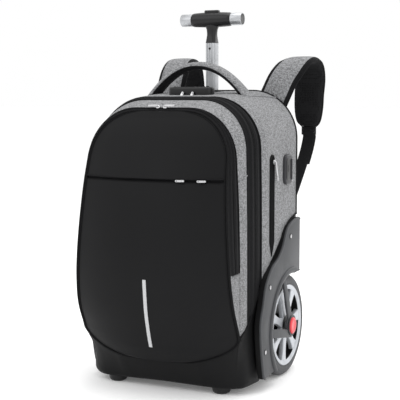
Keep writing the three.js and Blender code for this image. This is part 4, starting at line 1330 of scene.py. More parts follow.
@dataclass
class Slider:
    """A zip slider with its bridge and a drilled tab."""

    place: Vector
    along: Vector
    out: Vector
    tab: float = 17
    width: float = 8

    def make(self, name: str, node: str) -> None:
        """Builds the slider in place of a node.

        Args:
            name: The piece's name.
            node: The node that it stands for.
        """
        piece = Piece(name, Slot.METAL, (PLATED,), nodes=(node,))
        side = self.out.cross(self.along).normalized()
        out = self.along.cross(side).normalized()
        where = Matrix((side, self.along, out)).transposed().to_4x4()
        where.translation = self.place
        for part in self._parts():
            bmesh.ops.transform(part, matrix=where, verts=part.verts[:])
            piece.add(part)
        piece.make()

    def _parts(self) -> list[BMesh]:
        """Body, bridge and tab, lying along +Y with +Z outwards."""
        body = slab(on_z(rounded(self.width * 0.8, 8.5, self.width * 0.36), 0.2), Z_AXIS * 3, 0.7)
        arch = [Vector((0, 3 - 6 * k / 12, 3 + 1.8 * math.sin(math.pi * k / 12))) for k in range(13)]
        bridge = sweep(arch, box_section(1.2, 1), 8, across=X_AXIS)
        middle = -self.tab / 2 + 0.5
        rim = rounded(self.width * 0.72, self.tab, self.width * 0.34)
        centre = [Vector((x, y + middle, 4.1)) for x, y in rim]
        hole = self._ring(centre[0].z, middle - self.tab * 0.28, self.width * 0.17)
        return [body, bridge, holed(centre, hole, 1.4)]

    def _ring(self, z: float, y: float, radius: float) -> list[Vector]:
        """A small circle."""
        turns = [2 * math.pi * k / 16 for k in range(16)]
        return [Vector((radius * math.cos(t), y + radius * math.sin(t), z)) for t in turns]


@dataclass
class MouldedBase:
    """Moulded base with its wheel wells, and the two front feet."""

    half: float = 150
    front: float = 146
    corner: float = 42
    ground: float = 12
    well_half: float = 118
    well_top: float = 185.8
    wall: float = 2.8
    back_top: float = 60
    foot: tuple[float, float] = (99, 126)
    foot_radius: float = 16

    shares = (0, 0.015, 0.03, 0.06, 0.1, 0.17, 0.25, 0.35, 0.5, 0.62, 0.75, 0.88, 1)

    def make(self) -> None:
        """Builds the base and its feet."""
        base = Piece("base_moulding", Slot.BASE, (BASE,), nodes=("base_shell",), crisp=50)
        lines = self._lines()
        left = [[Vector((-p.x, p.y, p.z)) for p in line] for line in reversed(lines[:-1])]
        lines += left
        shell = lattice(lines)
        bmesh.ops.reverse_faces(shell, faces=shell.faces[:])
        bmesh.ops.recalc_face_normals(shell, faces=shell.faces[:])
        base.add(shell)
        floor = self.ground + 0.3
        outline = [Vector((line[0].x * 0.99, line[0].y * 0.995, floor)) for line in lines]
        base.add(slab(outline, Z_AXIS * self.wall))
        half = self.well_half - 1.4
        plate = [(-half, floor), (half, floor), (half, self.back_top), (-half, self.back_top)]
        back = [Vector((x, BAG.back - 0.3, z)) for x, z in plate]
        base.add(slab(back, Y_AXIS * -self.wall, 0.8))
        base.make()
        for side in SIDES:
            foot = paired("foot_pad", "foot", Slot.PLASTIC, (GLOSS,), side)
            r = self.foot_radius
            profile = [(0, 0), (r * 0.5, 0), (r * 0.72, 0.5), (r * 0.88, 2.2), (r * 0.97, 4.8), (r, 7.6)]
            profile += [(r, 11.4), (0, 11.4)]
            foot.add(lathe(profile, Vector((self.foot[0], -self.foot[1], 0)), Z_AXIS, 48)).make()

    def _plan(self, turn: float) -> Vector:
        """The lower wall's plan round the front corner."""
        x = self.half - self.corner + self.corner * math.cos(turn)
        return Vector((x, -(self.front - self.corner) - self.corner * math.sin(turn), 0))

    def _lines(self) -> list[list[Vector]]:
        """Upright lines of the right half's wall, from the back to the front's middle."""
        down = Vector((0, 0, -0.6))
        lines = []
        for k in range(4):
            rim = BAG.hide(k, 0) + down
            lines.append(self._well_line(rim))
        rims, plans = [], []
        for depth, turn in ((4, 0), (5, 0), (6, 0.5), (8, 0.9)):
            rim = BAG.hide(min(depth, 7.999), 0) + down
            rims.append(rim)
            plans.append(self._plan(turn) if turn else Vector((self.half, rim.y, 0)))
        for k in range(1, 8):
            half, z = BAG.corner_point(QUARTER * k / 7) if k < 7 else (0, BAG.panel_bottom)
            drop = (BAG.low - z) / BAG.corner
            rims.append(Vector((half, BAG.edge_y(z) + 3 * drop, z - 0.6)))
            plan = self._plan(mix(0.9, QUARTER, min(1, k / 7 * 1.8)))
            plan.x = min(plan.x, half)
            plans.append(plan)
        smooth = zip(flowing(rims, 4), flowing(plans, 4))
        for k, (rim, plan) in enumerate(smooth):
            front = max(0.0, (k - 12) / 28)
            lines.append(self._wall_line(rim, plan, mix(2.4, 0.8, front)))
        return lines

    def _wall_line(self, rim: Vector, plan: Vector, upright: float) -> list[Vector]:
        """One upright line of the plain wall.

        Args:
            rim: Its upper end.
            plan: Its place in the plan of the foot.
            upright: How long it stays over that place.

        Returns:
            Its points.
        """
        crease = self.corner - self.front
        curved = plan.y < crease
        inward = Vector((-plan.x, crease - plan.y, 0)) if curved else Vector((-1, 0, 0))
        line = []
        for share in self.shares:
            tuck = 6 * (1 - min(1, share / 0.1)) ** 2
            lean = share**upright
            height = mix(self.ground, rim.z, share)
            point = Vector((mix(plan.x, rim.x, lean), mix(plan.y, rim.y, lean), height))
            line.append(point + inward.normalized() * tuck * (1 if plan.x > 0.5 or curved else 0))
        return line

    def _well_line(self, rim: Vector) -> list[Vector]:
        """One upright line of the wall beside a wheel, with its ledge."""
        line = []
        for share in self.shares:
            if share <= 0.5:
                z = mix(self.ground, self.well_top, share / 0.5)
                line.append(Vector((self.well_half, rim.y, z)))
            else:
                z = mix(self.well_top + 2, rim.z, (share - 0.62) / 0.38)
                line.append(Vector((rim.x, rim.y, z)))
        return line


@dataclass
class Fender:
    """Fender over a wheel: plate, rim wall, arch, rib, arms, hub boss, cap and rivets."""

    wheel: float = 90
    axis_y: float = 33
    liner: float = 93
    liner_wall: float = 2.2
    inner_x: float = 160.6
    plate: float = 3
    well_half: float = 118.6
    arch: tuple[float, float] = (math.pi * 0.44, math.pi * 1.235)
    rib: float = 4.6

    edge = (
        (0.47, 2.1),
        (0.3, 2.12),
        (-0.1, 2.03),
        (-0.3, 1.89),
        (-0.47, 1.64),
        (-0.7, 1.45),
        (-1, 1.32),
        (-1.26, 1.11),
        (-1.39, 0.93),
        (-1.49, 0.64),
        (-1.61, 0.32),
        (-1.58, -0.14),
        (-1.45, -0.7),
        (-1.38, -0.76),
    )
    rivets = (("top", -0.07, 1.78), ("middle", -1.16, 0.94), ("low", -1.38, -0.25))
    # Radius and place along the axis, of the boss, the cap, and a rivet's washer and head
    boss = ((0, 0), (18, 0), (18.9, 0.6), (19, 1.4), (18.2, 2.4), (15.6, 2.6), (15.2, 1.6), (0, 1.6))
    cap = ((0, 1.7), (14.2, 1.7), (14.6, 2.2), (14.4, 3.6), (13.2, 4.7), (10, 5.1), (9.4, 4.7), (0, 4.9))
    washer = ((0, 0.1), (5, 0.1), (5.2, 0.5), (4.6, 0.9), (0, 0.9))
    head = ((0, 0.7), (3.5, 0.7), (3.4, 1.2), (2.4, 1.5), (1.2, 1.5), (1, 1), (0, 1))

    @property
    def outer_x(self) -> float:
        """X of the plate's face."""
        return self.inner_x + self.plate

    def _at(self, radius: float, turn: float, x: float) -> Vector:
        """Point round the wheel's axis."""
        return Vector((x, self.axis_y + radius * math.cos(turn), self.wheel + radius * math.sin(turn)))

    def _outer(self, x: float) -> list[Vector]:
        """The plate's outer edge from the back edge to its lower point."""
        back = BAG.back - 1
        points = []
        for behind, up in self.edge:
            y = min(self.axis_y + behind * self.wheel, back)
            points.append(Vector((x, y, self.wheel * (1 + up))))
        return flowing(points, 6)

    def _arch(self, radius: float, x: float, steps: int = 60) -> list[Vector]:
        """A line round the wheel, from the fender's lower end to its back edge."""
        start, end = self.arch
        return [self._at(radius, mix(end, start, k / steps), x) for k in range(steps + 1)]

    def make(self) -> None:
        """Builds both fenders."""
        for side in SIDES:
            self._shell(side)
            self._hub(side)

    def _shell(self, side: Side) -> None:
        """The plate and everything moulded with it."""
        piece = paired("fender_moulding", "fender", Slot.FENDER, (FENDER, BASE), side)
        middle = self.liner + self.liner_wall / 2
        outline = self._outer(self.inner_x) + self._arch(middle, self.inner_x)
        corner = Vector((self.inner_x, BAG.back - 1, outline[-1].z))
        outline.append(corner)
        piece.add(slab(outline, X_AXIS * self.plate, 0.9, 2))
        # The rim wall behind the plate's edge takes the near-black base finish: a painted shadow line along
        # the fender's outer edge.
        outer = [self._inset(point, 1.8) for point in self._outer(156.4)]
        piece.add(sweep(outer, box_section(4.4, 2.4), 12, across=X_AXIS), 1)
        heights = [mix(outline[0].z - 4, corner.z, k / 8) for k in range(9)]
        back = [Vector((157.6, BAG.back - 2.3, z)) for z in heights]
        piece.add(sweep(back, box_section(5.4, 2.4), 12, across=X_AXIS), 1)
        lip = [corner.lerp(outline[-2], k / 6) + Vector((-1.6, 0, 1.2)) for k in range(7)]
        piece.add(sweep(lip, box_section(5.2, 2.4), 12, across=X_AXIS))
        wide = self.outer_x - self.well_half
        arch = self._arch(middle, self.well_half + wide / 2)
        piece.add(sweep(arch, box_section(wide / 2, self.liner_wall, 14), 12, across=X_AXIS))
        rib = self._arch(middle + self.rib, self.outer_x)
        piece.add(sweep(rib, round_section(3.0, 1.7), 14, across=X_AXIS))
        bead = self._outer(self.outer_x - 0.3)
        bead = [self._inset(point, 2.4) for point in bead]
        piece.add(sweep(bead, round_section(1.2, 1.5), 8, across=X_AXIS))
        hub = self._at(0, 0, 0)
        low = hub + Vector((0, 3, -15))
        piece.add(self._arm(self._at(95, math.pi * 0.625, 0), hub, 12, 19))
        piece.add(self._arm(self._at(95, math.pi * 0.99, 0), low, 15, 15))
        disc = [(0, 0), (19.5, 0), (20.5, 1), (20.5, 2.4), (19.5, 3.2), (0, 3.2)]
        piece.add(lathe(disc, Vector((self.inner_x - 0.2, self.axis_y, self.wheel)), X_AXIS))
        piece.make()

    def _inset(self, point: Vector, by: float) -> Vector:
        """A point of the outer edge, drawn towards the wheel's axis."""
        centre = Vector((point.x, self.axis_y, self.wheel))
        return point + (centre - point).normalized() * by

    def _arm(self, start: Vector, end: Vector, first: float, second: float) -> BMesh:
        """A tapered arm from the arch to the hub."""
        along = (end - start).normalized()
        side = X_AXIS.cross(along) / 2
        outline = [start - side * first, end - side * second, end + side * second, start + side * first]
        for point in outline:
            point.x = self.inner_x
        return slab(outline, X_AXIS * (self.plate + 1.2), 1.6, 3)

    def _hub(self, side: Side) -> None:
        """The boss, the red cap, the axle and the rivets."""
        centre = Vector((self.outer_x + 0.3, self.axis_y, self.wheel))
        boss = paired("boss", "hub_boss", Slot.PLASTIC, (GLOSS,), side)
        boss.add(lathe(self.boss, centre, X_AXIS)).make()
        cap = paired("cap", "hub_cap", Slot.RED, (RED,), side)
        cap.add(lathe(self.cap, centre, X_AXIS)).make()
        for place, back, up in self.rivets:
            spot = Vector((self.outer_x, self.axis_y + back * self.wheel, self.wheel * (1 + up)))
            rivet = paired(f"fender_rivet_{place}", f"rivet_{place}", Slot.METAL, (PLATED, GLOSS), side)
            rivet.add(lathe(self.washer, spot, X_AXIS, 32), 1)
            rivet.add(lathe(self.head, spot, X_AXIS, 32))
            rivet.make()
        dress("axle_" + side[0], ALUMINIUM)


def dress(node: str, finish: Finish) -> None:
    """Gives a node of the part a finish."""
    slots = bpy.data.objects[node].material_slots if node in bpy.data.objects else ()
    for entry in slots:
        entry.material = finish.material()


@dataclass
class Wheel:
    """Tyre and spoked rim of one wheel."""

    radius: float = 90
    width: float = 26
    axis_y: float = 33
    middle: float = 143
    depth: float = 18
    ring: float = 8
    hub: float = 19
    bore: float = 5.6
    spokes: int = 7
    lead: float = math.radians(160)

    def make(self) -> None:
        """Builds both wheels."""
        centre = Vector((self.middle, self.axis_y, self.radius))
        for side in SIDES:
            self._tyre(side, centre)
            self._rim(side, centre)

    def _tyre(self, side: Side, centre: Vector) -> None:
        """The tyre with its groove."""
        tyre = paired("tyre_rubber", "tyre", Slot.TYRE, (RUBBER,), side, f"wheel_{side[0]}", 30)
        r, inner, half = self.radius, self.radius - self.depth, self.width / 2
        right = [(inner, half - 1.5), (inner + 3, half - 0.4), (inner + 8, half), (r - 8, half - 0.6)]
        right += [(r - 3.6, half - 2.6), (r - 1.1, half - 5.4), (r, half - 8.4)]
        left = [(radius, -w) for radius, w in reversed(right)]
        groove = [(r, 2.4), (r - 1.2, 1.6), (r - 1.2, -1.6), (r, -2.4)]
        tyre.add(lathe(right + groove + left, centre, X_AXIS, 120)).make()

    def _rim(self, side: Side, centre: Vector) -> None:
        """The rim's ring, hub, dark inner disc and spokes."""
        rim = paired("wheel_rim", "rim", Slot.RIM, (SILVER, GLOSS), side, f"wheel_{side[0]}")
        outer = self.radius - self.depth - 0.3
        inner = outer - self.ring
        half = self.width / 2
        ring = [(outer, half - 0.6), (outer - 1, half + 0.4), (inner + 2, half - 0.4), (inner, half - 2.4)]
        ring += [(inner + 1, 0), (inner, 2.4 - half), (inner + 2, 0.4 - half)]
        ring += [(outer - 1, -half), (outer, 1 - half)]
        rim.add(lathe(ring, centre, X_AXIS, 120), painter=self._shadow)
        top = half - 2
        hub = [(self.bore, top), (self.hub - 2, top), (self.hub, top - 2)]
        hub += [(self.hub, -top), (self.bore, -top)]
        rim.add(lathe(hub, centre, X_AXIS, 60), 1)
        reach = inner + 1.5
        disc = [(self.hub - 1, 3 - half), (reach, 3 - half), (reach, 1 - half), (self.hub - 1, 1 - half)]
        rim.add(lathe(disc, centre, X_AXIS, 60), 1)
        for k in range(self.spokes):
            turn = Matrix.Rotation(self.lead - QUARTER + 2 * math.pi * k / self.spokes, 4, "X")
            rim.add(self._spoke(reach, turn, centre))
        rim.make()

    def _shadow(self, normal: Vector) -> int:
        """The dark finish for the ring's faces that don't look outwards."""
        return 0 if normal.x > 0.3 else 1

    def _spoke(self, reach: float, turn: Matrix, centre: Vector) -> BMesh:
        """A spoke that widens in a curve towards the ring and the hub."""
        start, steps = self.hub - 4, 14
        edge = []
        for k in range(steps + 1):
            share = k / steps
            wide = 5.8 + 3.2 * (1 - share) ** 3 + 5.5 * share**4
            edge.append((mix(start, reach, share), wide))
        outline = [(r, w) for r, w in edge] + [(r, -w) for r, w in reversed(edge)]
        front = self.width / 2 - 2.2
        points = [turn @ Vector((front, w, r)) + centre for r, w in outline]
        return slab(points, X_AXIS * -9, 1.8, 3)


@dataclass
class TrolleyHandle:
    """Telescopic handle: tubes, collar, waisted grip, end plugs and push button."""

    pole: float = 52
    axis_z: float = 633
    barrel: float = 13.5
    barrel_half: float = 38
    tube_radius: float = 11
    reach: float = 60
    neck: float = 42
    length: float = 395
    wall: float = 1.2

    neck_rows = (
        (0, 1.7, 0.9, 2),
        (0.24, 1.6, 0.88, 2),
        (0.38, 1.12, 0.78, 2.4),
        (0.62, 0.92, 0.78, 3),
        (0.84, 0.98, 0.92, 4),
        (1, 1.06, 1.05, 5),
    )

    def make(self) -> None:
        """Builds the handle from the top down."""
        self._grip()
        self._tubes()
        self._button()
        end = self.axis_z - self.neck
        upper = Piece("upper_tube", Slot.TUBE, (ALUMINIUM, GLOSS), "upper_handle", ("trolley_upper_tube",))
        upper.add(self._profile(9, 11, end - self.length, end))
        pin = Vector((0, self.pole - 11.05, end - 10))
        upper.add(lathe([(0, 0.3), (2.1, 0.3), (2.1, -0.1), (0, -0.1)], pin, Y_AXIS, 24), 1).make()
        middle = Piece("middle_tube", Slot.TUBE, (ALUMINIUM,), "middle_handle", ("trolley_middle_tube",))
        middle.add(self._profile(10.7, 12.7, 113.5, 505.4)).make()
        dress("trolley_sleeve", ALUMINIUM)
        self._collar()

    def _profile(self, half_x: float, half_y: float, low: float, high: float) -> BMesh:
        """A drawn tube with three shallow flutes in its front and back.

        Args:
            half_x: Half its width.
            half_y: Half its depth.
            low: Height of its lower end.
            high: Height of its upper end.

        Returns:
            The mesh.
        """

        def section(inset: float) -> list[Vector]:
            """Outline of the tube, or of its hollow."""
            points = rounded(2 * (half_x - inset), 2 * (half_y - inset), 4 - inset, 5)
            return on_z(points, low, 0, self.pole)

        points = section(0)
        fluted = []
        for a, b in zip(points, points[1:] + points[:1]):
            fluted.append(a)
            if abs(a.y - b.y) < 0.01 and abs(a.x - b.x) > 4:
                sign = 1 if a.y > self.pole else -1
                for middle in (0.15, 0.5, 0.85):
                    for off, deep in ((-0.09, 0), (-0.06, 0.7), (0.06, 0.7), (0.09, 0)):
                        fluted.append(Vector((mix(a.x, b.x, middle + off), a.y - sign * deep, low)))
        return holed(fluted, section(self.wall), high - low)

    def _grip(self) -> None:
        """The barrel and the neck under it."""
        grip = Piece("handle_grip", Slot.PLASTIC, (GLOSS,), "upper_handle", ("trolley_grip",))
        profile = [(0, -self.barrel_half)]
        for k in range(-12, 13):
            share = abs(k) / 12
            bow = mix(self.tube_radius + 1, self.barrel, 1 - share**2)
            profile.append((bow - (0.8 if abs(k) == 12 else 0), self.barrel_half * k / 12))
        profile.append((0, self.barrel_half))
        grip.add(lathe(profile, Vector((0, self.pole, self.axis_z)), X_AXIS, 64))

        def surface(u: float, v: float) -> Vector:
            """The neck's skin."""
            wide, deep, power = (eased(self.neck_rows, v, k, 0.08) for k in (1, 2, 3))
            c, s = squircle(u * 2 * math.pi, power)
            z = self.axis_z - v * (self.neck - 0.3)
            return Vector((9 * wide * c, self.pole + 11 * deep * s, z))

        grip.add(close(skin(surface, 48, 30, wrap=True)))
        grip.make()

    def _tubes(self) -> None:
        """The silver tubes at the grip's ends, with their plugs."""
        start = Vector((self.barrel_half, self.pole, self.axis_z))
        r = self.tube_radius
        length = self.reach - self.barrel_half
        for side in SIDES:
            tube = paired("grip_end", "grip_tube", Slot.TUBE, (ALUMINIUM,), side, "upper_handle")
            profile = [(0, 0.3), (r - 0.4, 0.3), (r, 0.8), (r, length - 1), (r - 0.5, length - 0.2)]
            profile += [(r - 1, length), (r - 1.4, length - 0.4), (r - 1.4, length - 3), (0, length - 3)]
            tube.add(lathe(profile, start, X_AXIS, 56)).make()
            plug = paired("grip_stop", "grip_plug", Slot.PLASTIC, (GLOSS,), side, "upper_handle")
            profile = [(0, length - 2.7), (r - 1.6, length - 2.7), (r - 1.6, length - 0.8)]
            profile += [(r - 2.4, length - 0.2), (r - 5, length - 0.4), (0, length - 0.3)]
            plug.add(lathe(profile, start, X_AXIS, 48)).make()

    def _button(self) -> None:
        """The push button on top of the grip."""
        button = Piece("push_button", Slot.PLASTIC, (GLOSS,), "button", ("grip_button",))
        top = self.axis_z + self.barrel + 3.5
        outline = on_z(rounded(28, 12, 3.5), top - 6.5, 0, self.pole)
        button.add(slab(outline, Z_AXIS * 6.5, 1.4, 3))
        for k in (-2, 0, 2):
            bar = on_z(rounded(1.6, 7, 0.7, 3), top - 0.3, k * 2.4, self.pole)
            button.add(slab(bar, Z_AXIS * 0.3))
        button.make()

    def _collar(self) -> None:
        """The collar where the tubes come out of the bag."""
        collar = Piece("handle_collar", Slot.PLASTIC, (GLOSS,), nodes=("trolley_collar",))
        sizes = ((34.8, 38.8, 8), (22.6, 26.6, 5))
        outline, hole = (on_z(rounded(*size), 503.6, 0, self.pole) for size in sizes)
        collar.add(holed(outline, hole, 2.9)).make()


@dataclass
class CarryHandle:
    """Padded arch of grey cloth with a black underside and piping."""

    span: float = 95
    rise: float = 55
    foot: float = 490
    y: float = -3
    width: float = 29
    thick: float = 14
    power: float = 2.1

    def _path(self) -> tuple[list[Vector], list[Vector]]:
        """Centre line and outward directions of the arch."""
        points, outs = [], []
        for k in range(61):
            share = 2 * k / 60 - 1
            x = self.span * math.copysign(abs(share) ** 0.9, share)
            z = self.foot + (self.rise + 4) * (1 - abs(x / self.span) ** self.power)
            points.append(Vector((x, self.y, z)))
        for k in range(61):
            along = points[min(k + 1, 60)] - points[max(k - 1, 0)]
            outs.append(Vector((-along.z, 0, along.x)).normalized())
        return points, outs

    def make(self) -> None:
        """Builds the pad and its piping."""
        path, outs = self._path()

        def surface(u: float, v: float) -> Vector:
            """The pad's skin."""
            k = round(v * 60)
            swell = (1 + 0.1 * abs(2 * v - 1) ** 4) / 2
            c, s = squircle(u * 2 * math.pi, 2.6)
            return path[k] + outs[k] * (self.thick * swell * s) - Y_AXIS * (self.width * swell * c)

        pad = skin(surface, 28, 60, wrap=True)
        close(pad)
        piece = Piece("carry_pad", Slot.MELANGE, (MELANGE, BLACK, PIPING), nodes=("carry_handle",))
        for part, keep in ((pad, False), (pad.copy(), True)):
            gone = [face for face in part.faces if self._under(face, path, outs) != keep]
            bmesh.ops.delete(part, geom=gone, context="FACES")
            piece.add(part, 1 if keep else 0)
        for side in (1, -1):
            edge = [p - o * 1.6 - Y_AXIS * side * (self.width / 2 + 0.2) for p, o in zip(path, outs)]
            piece.add(sweep(edge, round_section(1.3), 8), 2)
        handle = piece.make()

    def _under(self, face: bmesh.types.BMFace, path: list[Vector], outs: list[Vector]) -> bool:
        """Whether a face is on the arch's underside."""
        middle = face.calc_center_median()
        k = min(range(len(path)), key=lambda n: (path[n] - middle).length)
        return (middle - path[k]).dot(outs[k]) < -1.5


@dataclass
class ShoulderStraps:
    """Padded straps with a grey outside, a mesh inside, piping, webbing, buckle and loose end."""

    width: float = 54
    thick: float = 14
    top: float = 560
    reach: float = 102
    length: float = 120
    web: float = 22
    anchor: float = 292
    across: float = 0.88
    power: float = 3.2

    # Height and reach shares, X of the right and the left strap, width and thickness shares
    rows = (
        (-0.96, 0.065, 0.59, 0.68, 0.9, 0.5),
        (-0.75, 0.11, 0.63, 0.68, 1, 0.9),
        (-0.5, 0.14, 0.71, 0.67, 1, 1),
        (-0.27, 0.18, 0.79, 0.65, 1, 1),
        (-0.1, 0.27, 0.88, 0.63, 1, 1),
        (-0.01, 0.43, 0.93, 0.63, 1, 1),
        (0, 0.64, 0.95, 0.63, 1, 1),
        (-0.09, 0.85, 0.95, 0.65, 1, 1),
        (-0.27, 0.97, 0.94, 0.66, 1, 1),
        (-0.5, 1, 0.92, 0.66, 1, 1),
        (-0.75, 0.98, 0.92, 0.66, 0.96, 1),
        (-0.92, 0.95, 0.93, 0.67, 0.8, 0.9),
        (-1, 0.95, 0.93, 0.67, 0.5, 0.6),
    )
    # Share of the way down, then share across to the anchor and reach of the webbing
    web_rows = (
        (0, 0, 0.93),
        (0.04, 0, 0.93),
        (0.2, 0.16, 0.84),
        (0.4, 0.4, 0.67),
        (0.77, 0.78, 0.27),
        (0.93, 0.94, 0.065),
        (1, 1, 0.042),
    )

    def make(self) -> None:
        """Builds both straps."""
        for wide, side in enumerate(SIDES, 2):
            points = []
            for row in self.rows:
                y = BAG.back + self.reach * row[1]
                points.append(Vector((BAG.half_width * row[wide], y, self.top + self.length * row[0])))
            widths = [Vector((row[4], row[5], 0)) for row in self.rows]
            path, sizes = flowing(points, 5), flowing(widths, 5)
            self._pad(side, path, sizes)
            self._webbing(side, path[-1])

    def _pad(self, side: Side, path: list[Vector], sizes: list[Vector]) -> None:
        """The pad with its two faces, its binding and its piping.

        Args:
            side: The side.
            path: The pad's middle line.
            sizes: Its width and thickness there, as shares.
        """
        last = len(path) - 1

        def section(share: float, turn: float) -> tuple[float, float]:
            """Offsets of the pad's section."""
            size = sizes[round(share * last)]
            c, s = squircle(turn, self.power)
            return self.width / 2 * size.x * c, self.thick / 2 * size.y * s

        pad = sweep(path, section, 32, across=X_AXIS)
        sides = []
        for k in range(last + 1):
            along = (path[min(k + 1, last)] - path[max(k - 1, 0)]).normalized()
            across = (X_AXIS - along * along.x).normalized()
            sides.append((across, across.cross(along)))
        piece = paired("strap_pad", "shoulder_strap", Slot.MELANGE, (MELANGE, MESH, PIPING), side)
        # Finish of each face round the pad: binding, outside, binding, then the wearer's side
        kinds = ([2] * 4 + [0] * 8 + [2] * 4 + [1] * 16) * last
        kinds += [2] * (len(pad.faces) - len(kinds))
        for finish in range(3):
            part = pad.copy()
            gone = [face for kind, face in zip(kinds, part.faces[:]) if kind != finish]
            bmesh.ops.delete(part, geom=gone, context="FACES")
            piece.add(part, finish)
        for sign in (1, -1):
            edge = []
            for point, size, (across, out) in zip(path, sizes, sides):
                edge.append(point + across * sign * (self.width / 2 * size.x - 0.3))
            piece.add(sweep(edge, round_section(2.4), 10), 2)
        piece.make()

    def _webbing(self, side: Side, end: Vector) -> None:
        """The buckle, the webbing down to the bag and its loose end.

        Args:
            side: The side.
            end: The pad's lower end.
        """
        buckle = paired("ladder_buckle", "strap_buckle", Slot.PLASTIC, (GLOSS,), side)
        low = end.z - 16.3
        for dx, wide in ((-12.6, 2.8), (12.6, 2.8)):
            bar = on_z(rounded(wide, 4.8, 1.2, 3), low, end.x + dx, end.y)
            buckle.add(slab(bar, Z_AXIS * 16, 0.5))
        for z, deep in ((low, 3.4), (low + 6.6, 3.2), (low + 12.8, 3.2)):
            bar = on_x(rounded(4.6, deep, 1.4, 3), end.x - 13, end.y, z + deep / 2)
            buckle.add(slab(bar, X_AXIS * 26, 0.4))
        buckle.make()
        top = end.z - 16.6
        points = []
        for down, over, reach in self.web_rows:
            x = mix(end.x, BAG.half_width * self.across, over)
            points.append(Vector((x, BAG.back + self.reach * reach, mix(top, self.anchor, down))))
        line = [end, *flowing(points, 6)]
        web = paired("web", "strap_webbing", Slot.BLACK, (WEBBING,), side)
        web.add(sweep(line, box_section(self.web / 2, 2, 8), 16, across=X_AXIS)).make()
        hang = []
        for k, point in enumerate(points[:4]):
            hang.append(Vector((point.x + 2, point.y + 3.2 + 3 * k / 4, point.z - 0.3)))
        tail = paired("web_tail", "strap_tail", Slot.BLACK, (WEBBING,), side)
        tail.add(sweep(flowing(hang, 6), box_section(self.web / 2, 2, 8), 16, across=X_AXIS)).make()


@dataclass
class BackPad:
    """Padded panel on the wearer's side, swollen by a cloth simulation, with sewn channels."""

    radius: float = 82
    proud: float = 2.5
    thick: float = 9
    side: float = 151.6
    low_half: float = 114.6
    notch: float = 191.4
    bottom: float = 60.3
    cap: float = 7.0
    channels: tuple[float, ...] = (170, 262, 354)

    def _outline(self, inset: float) -> list[Vector]:
        """The pad's outline at its front face."""
        points = [(-self.low_half + inset, self.bottom + inset), (self.low_half - inset, self.bottom + inset)]
        points += [(self.low_half - inset, self.notch + inset), (self.side - inset, self.notch + inset)]
        centre = (BAG.half_width - BAG.shoulder, BAG.top - BAG.shoulder)
        r = self.radius - inset
        arc = [QUARTER * k / 12 for k in range(13)]
        right = [(centre[0] + r * math.cos(t), centre[1] + r * math.sin(t)) for t in arc]
        right[0] = (min(right[0][0], self.side - inset), right[0][1])
        points += right + [(-x, z) for x, z in reversed(right)]
        points += [(-self.side + inset, self.notch + inset), (-self.low_half + inset, self.notch + inset)]
        return [Vector((x, BAG.back + self.proud - self.thick + 0.5, z)) for x, z in points]

    def make(self) -> None:
        """Builds the pad, swells it and sews its channels."""
        piece = Piece("back_panel", Slot.BLACK, (MESH,), nodes=("back_pad",), crisp=80)
        piece.add(slab(self._outline(1.5), Y_AXIS * (self.thick - 1)))
        pad = piece.make()
        remesh = pad.modifiers.new("even", "REMESH")
        remesh.mode = "VOXEL"
        remesh.voxel_size = 0.0055
        apply_all(pad)
        rest = [vert.co.copy() for vert in pad.data.vertices]
        self._swell(pad)
        front = (BAG.back + ROW_SHIFT + self.proud - self.thick) / 1000
        for vert, before in zip(pad.data.vertices, rest):
            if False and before.y > front + 0.004:
                vert.co.y += 0.004
            move = vert.co - before
            if move.length > self.cap / 1000:
                vert.co = before + move.normalized() * self.cap / 1000
            vert.co.y = max(vert.co.y, front)
            vert.co.x = max(-0.152, min(0.152, vert.co.x))
            vert.co.y -= self._groove(vert.co) if before.y > front + 0.004 else 0
        pad.data.polygons.foreach_set("use_smooth", [True] * len(pad.data.polygons))
        soften(pad)

    def _groove(self, place: Vector) -> float:
        """Depth of the channels at a place, in metres."""
        depth = 0.0
        for height in self.channels:
            bend = height / 1000 + 0.03 * (1 - (place.x / 0.12) ** 2)
            depth += 0.0042 * math.exp(-(((place.z - bend) / 0.0055) ** 2))
        depth += 0.0046 * math.exp(-((place.x / 0.011) ** 2))
        return depth

    def _swell(self, pad: bpy.types.Object) -> None:
        """Blows the pad up a little with the cloth solver.

        Args:
            pad: The pad's object.
        """
        scene = bpy.context.scene
        cloth = pad.modifiers.new("swell", "CLOTH")
        settings = cloth.settings
        settings.use_pressure = True
        settings.uniform_pressure_force = 4
        settings.effector_weights.gravity = 0
        settings.quality = 5
        cloth.collision_settings.use_collision = False
        for frame in range(1, 21):
            scene.frame_set(frame)
        apply_all(pad)
        scene.frame_set(1)


def apply_all(piece: bpy.types.Object) -> None:
    """Puts what a piece's modifiers make into its mesh, and drops them."""
    graph = bpy.context.evaluated_depsgraph_get()
    graph.update()
    done = bpy.data.meshes.new_from_object(piece.evaluated_get(graph), depsgraph=graph)
    for modifier in list(piece.modifiers):
        piece.modifiers.remove(modifier)
    piece.data = done


